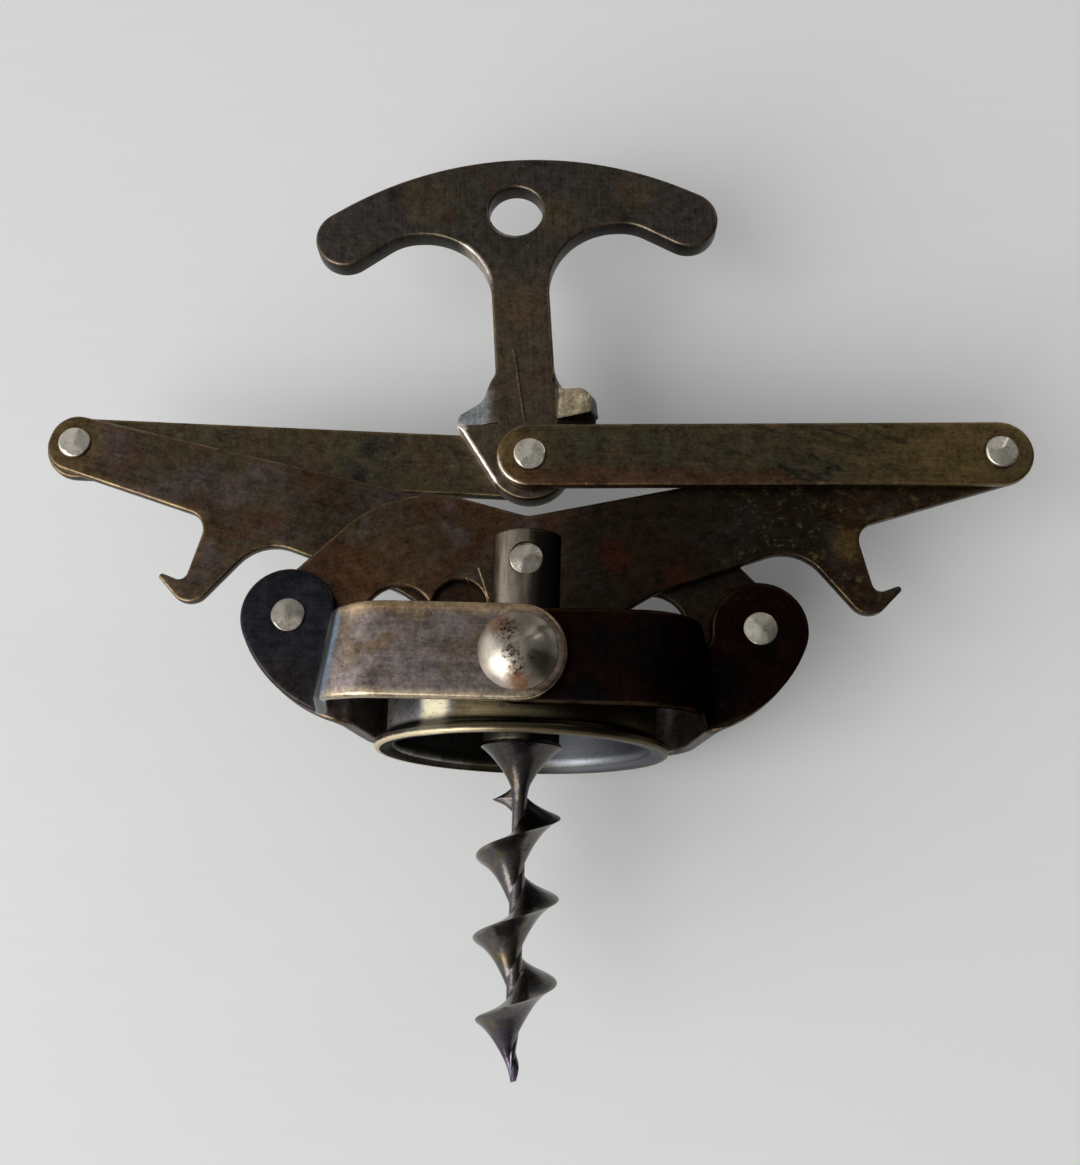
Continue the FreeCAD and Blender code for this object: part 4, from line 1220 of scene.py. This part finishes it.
class CORKSCREW_OT_dome_rivets(bpy.types.Operator):
    """Builds the two bright domed rivets that carry the straps"""
    bl_idname = "corkscrew.dome_rivets"
    bl_label = "Dome rivets"

    def execute(self, context):
        s, c = sizes("rivet"), sizes("collar")
        low, high = layer("front_dome_rivet")
        base = high - s.dome_height
        flush = c.bore + 0.02
        r = s.dome * np.linspace(0, 1, 40)[:, None]
        ball = (s.dome ** 2 + s.dome_height ** 2) / (2 * s.dome_height)
        cap = np.sqrt(ball ** 2 - r ** 2) - ball + s.dome_height
        crown = np.hstack([r, base + 0.02 + cap * (1 - 0.02 / s.dome_height)])
        rim = np.array([[s.dome - 0.02, base]])
        inner = [(0, flush), (2.66, flush), (2.7, flush + 0.04), (2.0, flush + 0.8), (2.0, base), (3.9, base)]
        profile = np.vstack([inner, rim, crown[::-1]])
        for name, side in (("front_dome_rivet", 1), ("back_dome_rivet", -1)):
            points, faces = lathed(profile, 200)
            end = points[:, 2] < flush + 0.03
            points[end, 2] -= c.bore - np.sqrt(c.bore ** 2 - points[end, 0] ** 2)
            points = points * [side, 1, side] + [0, PIVOT[1], 0]
            add_piece(name, points, faces, "collar", dome_nickel(name + "_nickel", side + 2.0),
                      sharp=math.radians(35))
        return {"FINISHED"}


def beaten(points, face, head, tall, planes, seed):
    """A rivet head's top with flats from the hammer: each flat is a slanting plane over the head, and the
    surface is a soft least of the round top and the planes."""
    rng = np.random.default_rng(seed)
    over = points[:, 2] > face + 0.02
    x, y, h = points[over, 0] / head, points[over, 1] / head, points[over, 2] - face
    aim = TAU * (np.arange(planes) + rng.uniform(0, 0.7, planes)) / planes
    slope = tall * rng.uniform(0.30, 0.80, planes)
    level = tall * rng.uniform(0.76, 1.0, planes)
    flats = level[:, None] - slope[:, None] * (np.cos(aim)[:, None] * x + np.sin(aim)[:, None] * y)
    sharp = 40.0 / tall
    heights = np.vstack([h, np.maximum(flats, 0.15 * tall)])
    points[over, 2] = face + np.maximum(-np.log(np.exp(-sharp * heights).sum(0)) / sharp, 0.03)
    return points


def rivet_points(s, at, low, high, low_head, high_head, planes, seed):
    """A shank between two faces with a low round head on each end that has one, lathed about its own
    axis."""
    r = s.head * np.linspace(1, 0, 26)
    top = s.head_height * (1 - (r / s.head) ** 3.4) ** 0.5
    top[0] = 0.0
    upper = np.column_stack([r, high + top]) if high_head else np.array([[s.shank, high], [0, high]])
    lower = np.column_stack([r, low - top])[::-1] if low_head else np.array([[0, low], [s.shank, low]])
    profile = np.vstack([lower, [[s.shank, low + 0.01], [s.shank, high - 0.01]], upper])
    points, faces = lathed(profile, 96)
    edge = np.clip(s.head - np.linalg.norm(points[:, :2], axis=1), 0, 3)
    if high_head:
        points = beaten(points, high, s.head, s.head_height, planes, seed)
    if low_head:
        points = beaten(points * [1, 1, -1], -low, s.head, s.head_height, planes, seed + 50) * [1, 1, -1]
    return points + [at[0], at[1], 0], faces, edge


class CORKSCREW_OT_rivets(bpy.types.Operator):
    """Builds the small peened rivets of the linkage"""
    bl_idname = "corkscrew.rivets"
    bl_label = "Rivets"

    def execute(self, context):
        s = sizes("rivet")
        mirror = np.array([-1, 1, 1])
        rows = (
            ("left_ear_rivet", "left_yoke", EAR * mirror, True, True, 7, 0.75),
            ("right_ear_rivet", "right_yoke", EAR, True, True, 7, 1.05),
            ("right_outer_rivet", "right_lever", OUTER, True, True, 4, 1.2),
            ("left_outer_rivet", "left_lever", OUTER * mirror, True, True, 3, 1.15),
            ("crossing_rivet", "shaft", CROSSING, True, True, 8, 0.88),
            ("handle_rivet_front", "handle_pin", HANDLE_PIVOT, False, True, 5, 1.2),
            ("handle_rivet_back", "left_link", HANDLE_PIVOT, True, False, 4, 1.0))
        for seed, (name, body, at, low_head, high_head, planes, grey) in enumerate(rows):
            low, high = layer(name)
            low += s.head_height if low_head else 0
            high -= s.head_height if high_head else 0
            points, faces, edge = rivet_points(s, at, low, high, low_head, high_head, planes, seed)
            add_piece(name, points, faces, body,
                      rivet_steel(name + "_steel", seed + 1.0, grey), edge)
        return {"FINISHED"}


class CORKSCREW_OT_shaft(bpy.types.Operator):
    """Builds the forked shaft"""
    bl_idname = "corkscrew.shaft"
    bl_label = "Shaft"

    def execute(self, context):
        low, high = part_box("slotted_shaft")
        radius = high.x / MM
        head, foot = high.y / MM, low.y / MM
        bevel = 0.45
        profile = [(0, foot), (radius - 0.1, foot), (radius, foot + 0.1)]
        profile += [(radius, y) for y in np.linspace(foot + 0.4, head - bevel - 0.2, 30)]
        profile += list(arc((radius - bevel, head - bevel), bevel, 0, math.pi / 2, 0.05)) + [
            (radius - bevel, head), (0, head)]
        points, faces = lathed(profile, 200)
        material = shaft_brass("shaft_brass")
        shaft = add_piece("slotted_shaft", along_y(points), faces, "shaft", material)
        slot_half = PLATE + 0.3
        slot_end = CROSSING[1] - 17.0
        slot_points = np.array([[x, y, z] for x in (-9, 9) for y in (slot_end, head + 3)
                                for z in (-slot_half, slot_half)])
        slot_faces = np.array([[0, 1, 3, 2], [4, 6, 7, 5], [0, 4, 5, 1],
                               [2, 3, 7, 6], [0, 2, 6, 4], [1, 5, 7, 3]])
        spot = layer("crossing_rivet")[1] - sizes("rivet").head_height
        spot_radius = 2.12
        cutters = [(slot_points, [slot_faces])]
        for side in (1, -1):
            disc, disc_faces = lathed([(0, spot), (spot_radius, spot), (spot_radius, radius + 2),
                                       (0, radius + 2)], 96)
            cutters.append((disc * [1, side, side] + [CROSSING[0], CROSSING[1], 0], disc_faces))
        cut_out(shaft, cutters, material)
        return {"FINISHED"}


def cut_out(piece, cutters, material):
    """Takes closed shapes out of a piece and keeps the result as the piece's own mesh."""
    tools = []
    for points, faces in cutters:
        tool = new_object("cutter", points, faces, material)
        modifier = piece.modifiers.new("cut", "BOOLEAN")
        modifier.operation = "DIFFERENCE"
        modifier.solver = "EXACT"
        modifier.object = tool
        tools.append(tool)
    bevel = piece.modifiers.new("soft", "BEVEL")
    bevel.width = 0.10 * MM
    bevel.segments = 2
    bevel.limit_method = "ANGLE"
    bevel.angle_limit = math.radians(40)
    solid = bpy.data.meshes.new_from_object(piece.evaluated_get(bpy.context.evaluated_depsgraph_get()))
    piece.modifiers.clear()
    piece.data = solid
    solid.set_sharp_from_angle(angle=math.radians(45))
    for tool in tools:
        bpy.data.objects.remove(tool)


class CORKSCREW_OT_worm(bpy.types.Operator):
    """Builds the worm: head, cone and bladed screw"""
    bl_idname = "corkscrew.worm"
    bl_label = "Worm"

    def execute(self, context):
        s = sizes("worm")
        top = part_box("slotted_shaft")[0].y / MM
        band, cone_height, hollow = 0.4, 4.6, 0.30
        head_r, end_r = 4.9, 1.15
        spigot_r, spigot_end, chamfer = 2.38, top + 4.0, 0.1
        cone_end = top - band - cone_height
        down = np.linspace(0, 1, 24)
        side = head_r + (end_r - head_r) * down ** 0.86 - hollow * 4 * down * (1 - down)
        cone = np.column_stack([side, top - band - cone_height * down])[::-1]
        neck = [(0, cone_end - 2.6), (s.core * 0.9, cone_end - 2.5), (s.core + 0.10, cone_end - 0.9)]
        spigot = [(head_r, top - 0.05), (head_r - 0.05, top), (spigot_r, top),
                  (spigot_r, spigot_end - chamfer), (spigot_r - chamfer, spigot_end), (0, spigot_end)]
        points, faces = lathed(np.vstack([neck, cone, spigot]), 160)
        screw, screw_faces = blade(s, cone_end)
        joined = faces + [f + len(points) for f in screw_faces]
        add_piece("worm", np.vstack([along_y(points), screw]), joined, "shaft",
                  worm_steel("worm_steel"), sharp=math.radians(42))
        return {"FINISHED"}


def blade(s, start):
    """A right-handed blade on a core. At any depth and angle about the axis, the distance over or under the
    nearest turn of the edge sets the radius: it falls on a short curve above the edge and on a long, nearly
    straight one below it. Columns of the grid follow the turns, so one of them is the edge. The first part
    is drawn down into a small curl."""
    depth = np.linspace(-1.6, s.length, 900)[:, None]
    rest = s.pitch - 1.5 * s.upper - s.lower
    below = np.concatenate([-s.upper * np.linspace(1.5, 1.0, 4)[:-1],
                            -s.upper * np.linspace(1, 0, 22)[:-1] ** 1.3,
                            s.lower * np.linspace(0, 1, 40),
                            s.lower + rest * np.linspace(0, 1, 14)[1:-1]])[None, :]
    taper, point_radius = 26.3, 0.12
    narrowed = smooth_step((depth - taper) / (s.length - taper))
    core = s.core + (point_radius - s.core) * narrowed
    own = depth - below
    risen = 0.70 * smooth_step((own + 0.6) / 0.3) + 0.30 * smooth_step((own + 0.3) / 3.3)
    fallen = smooth_step((own - 25.6) / 5.2)
    edge = np.maximum(s.core + (s.blade - s.core) * risen * (1 - fallen), core)
    up = np.clip(1 + below / s.upper, 0, 1)
    down = np.clip(1 - below / (s.lower * (0.32 + 0.68 * smooth_step((own + 0.3) / 4.2))), 0, 1)
    flank = np.where(below < 0, up ** 1.9, 0.76 * down ** 1.2 + 0.24 * down ** 6)
    radius = core + (edge - core) * flank
    aim = s.start - TAU * depth / s.pitch + TAU * below / s.pitch
    curl = 1.8 * (1 - smooth_step((own + 0.6) / 3.2))
    points = np.stack([radius * np.sin(aim), start - depth - curl, radius * np.cos(aim)], -1)
    rows, columns = radius.shape
    points = points.reshape(-1, 3)
    j = np.arange(columns)
    first, last = len(points), len(points) + 1
    points = np.vstack([points, [0, start - 0.2, 0], [0, start - s.length - 0.25, 0]])
    following, last_row = (j + 1) % columns, (rows - 1) * columns
    return points, [grid_faces(rows, columns), np.stack([np.full(columns, first), following, j], 1),
                    np.stack([np.full(columns, last), last_row + j, last_row + following], 1)]


class CORKSCREW_OT_stage(bpy.types.Operator):
    """Builds the floor, the light and the camera"""
    bl_idname = "corkscrew.stage"
    bl_label = "Stage"

    def execute(self, context):
        s = context.scene.corkscrew.stage
        low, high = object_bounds()
        half = 1500 * MM
        mesh = bpy.data.meshes.new("floor")
        mesh.from_pydata([(x * half, y * half, low[2]) for x, y in ((-1, -1), (1, -1), (1, 1), (-1, 1))],
                         [], [(0, 1, 2, 3)])
        mesh.materials.append(floor_finish(tuple(s.floor)))
        floor = bpy.data.objects.new("floor", mesh)
        context.scene.collection.objects.link(floor)
        floor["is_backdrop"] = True
        softbox("key_light", at=(-0.55, -0.45, 0.60), size=0.80, power=s.key)
        softbox("fill_light", at=(0.45, 0.60, 0.45), size=0.30, power=s.key * 0.06)
        sky(context.scene, s.sky)
        view(context.scene, s)
        return {"FINISHED"}


def floor_finish(tone):
    """Matt floor in its own tone with a faint grain, which keeps the shadows."""
    g = graph("floor_paint")
    at = g.place()
    grain = g.noise(g.stretched(at, 1.0, (60.0, 2.5, 60.0)), 1.0, 4.0, 0.6)
    paint = g.dimmed(tone, 0.985 + 0.03 * grain)
    plain = g.node("ShaderNodeBsdfDiffuse", {}, {"Color": paint})
    g.node("ShaderNodeOutputMaterial", {}, {"Surface": plain})
    return g.owner


def softbox(name, at, size, power):
    """A square area light that faces the tool."""
    lamp = bpy.data.lights.new(name, "AREA")
    lamp.shape = "SQUARE"
    lamp.size = size
    lamp.energy = power
    holder = bpy.data.objects.new(name, lamp)
    holder.location = at
    holder.rotation_euler = (-holder.location).to_track_quat("-Z", "Y").to_euler()
    bpy.context.scene.collection.objects.link(holder)


def sky(scene, strength):
    """Even light from all round, brighter on the left, as in a room with one window wall."""
    world = bpy.data.worlds.new("room")
    scene.world = world
    g = Graph(world)
    way = g.node("ShaderNodeTexCoord", output="Generated")
    x = g.axis(way, 0)
    lit = g.between(x, 0.85, -0.75)
    window = g.between(x, -0.66, -0.90)
    even, side, pane = strength * 0.16, strength * 1.35, strength * 2.6
    light = g.node("ShaderNodeBackground", {}, {"Color": (1.0, 1.0, 1.0, 1.0),
                                                "Strength": even + lit * side + window * pane})
    g.node("ShaderNodeOutputWorld", {}, {"Surface": light})


def view(scene, s):
    lens = bpy.data.cameras.new("camera")
    lens.sensor_fit = "HORIZONTAL"
    lens.sensor_width = 36.0
    lens.lens = s.lens
    lens.clip_start = 0.01
    holder = bpy.data.objects.new("camera", lens)
    holder.location = s.eye
    holder.rotation_euler = s.aim
    scene.collection.objects.link(holder)
    scene.camera = holder
    scene.view_settings.view_transform = "Standard"


class CORKSCREW_PT_pieces(bpy.types.Panel):
    """Lists the pieces in the sidebar"""
    bl_idname = "CORKSCREW_PT_pieces"
    bl_label = "Corkscrew"
    bl_space_type = "VIEW_3D"
    bl_region_type = "UI"
    bl_category = "Corkscrew"

    def draw(self, context):
        for piece in PIECES:
            self.layout.operator(piece.bl_idname)
        for group in Corkscrew.__annotations__:
            box = self.layout.box()
            box.label(text=group.capitalize())
            settings = getattr(context.scene.corkscrew, group)
            for name in settings.__annotations__:
                box.prop(settings, name)


GROUPS = (PlateSizes, LeverSizes, LinkSizes, StrapSizes, HandleSizes, CollarSizes, WormSizes, RivetSizes,
          Finish, StageSizes, Corkscrew)
PIECES = (CORKSCREW_OT_collar, CORKSCREW_OT_dome_rivets, CORKSCREW_OT_straps, CORKSCREW_OT_levers,
          CORKSCREW_OT_links, CORKSCREW_OT_handle, CORKSCREW_OT_shaft, CORKSCREW_OT_worm, CORKSCREW_OT_rivets,
          CORKSCREW_OT_stage)


def register():
    for kind in GROUPS + PIECES + (CORKSCREW_PT_pieces,):
        bpy.utils.register_class(kind)
    bpy.types.Scene.corkscrew = bpy.props.PointerProperty(type=Corkscrew)


def unregister():
    del bpy.types.Scene.corkscrew
    for kind in reversed(GROUPS + PIECES + (CORKSCREW_PT_pieces,)):
        bpy.utils.unregister_class(kind)


def corners(bounds):
    return [list(corner) for corner in bounds]


def main():
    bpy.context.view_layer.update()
    register()
    for piece in PIECES:
        group, name = piece.bl_idname.split(".")
        getattr(getattr(bpy.ops, group), name)()


if __name__ == "__main__":
    main()
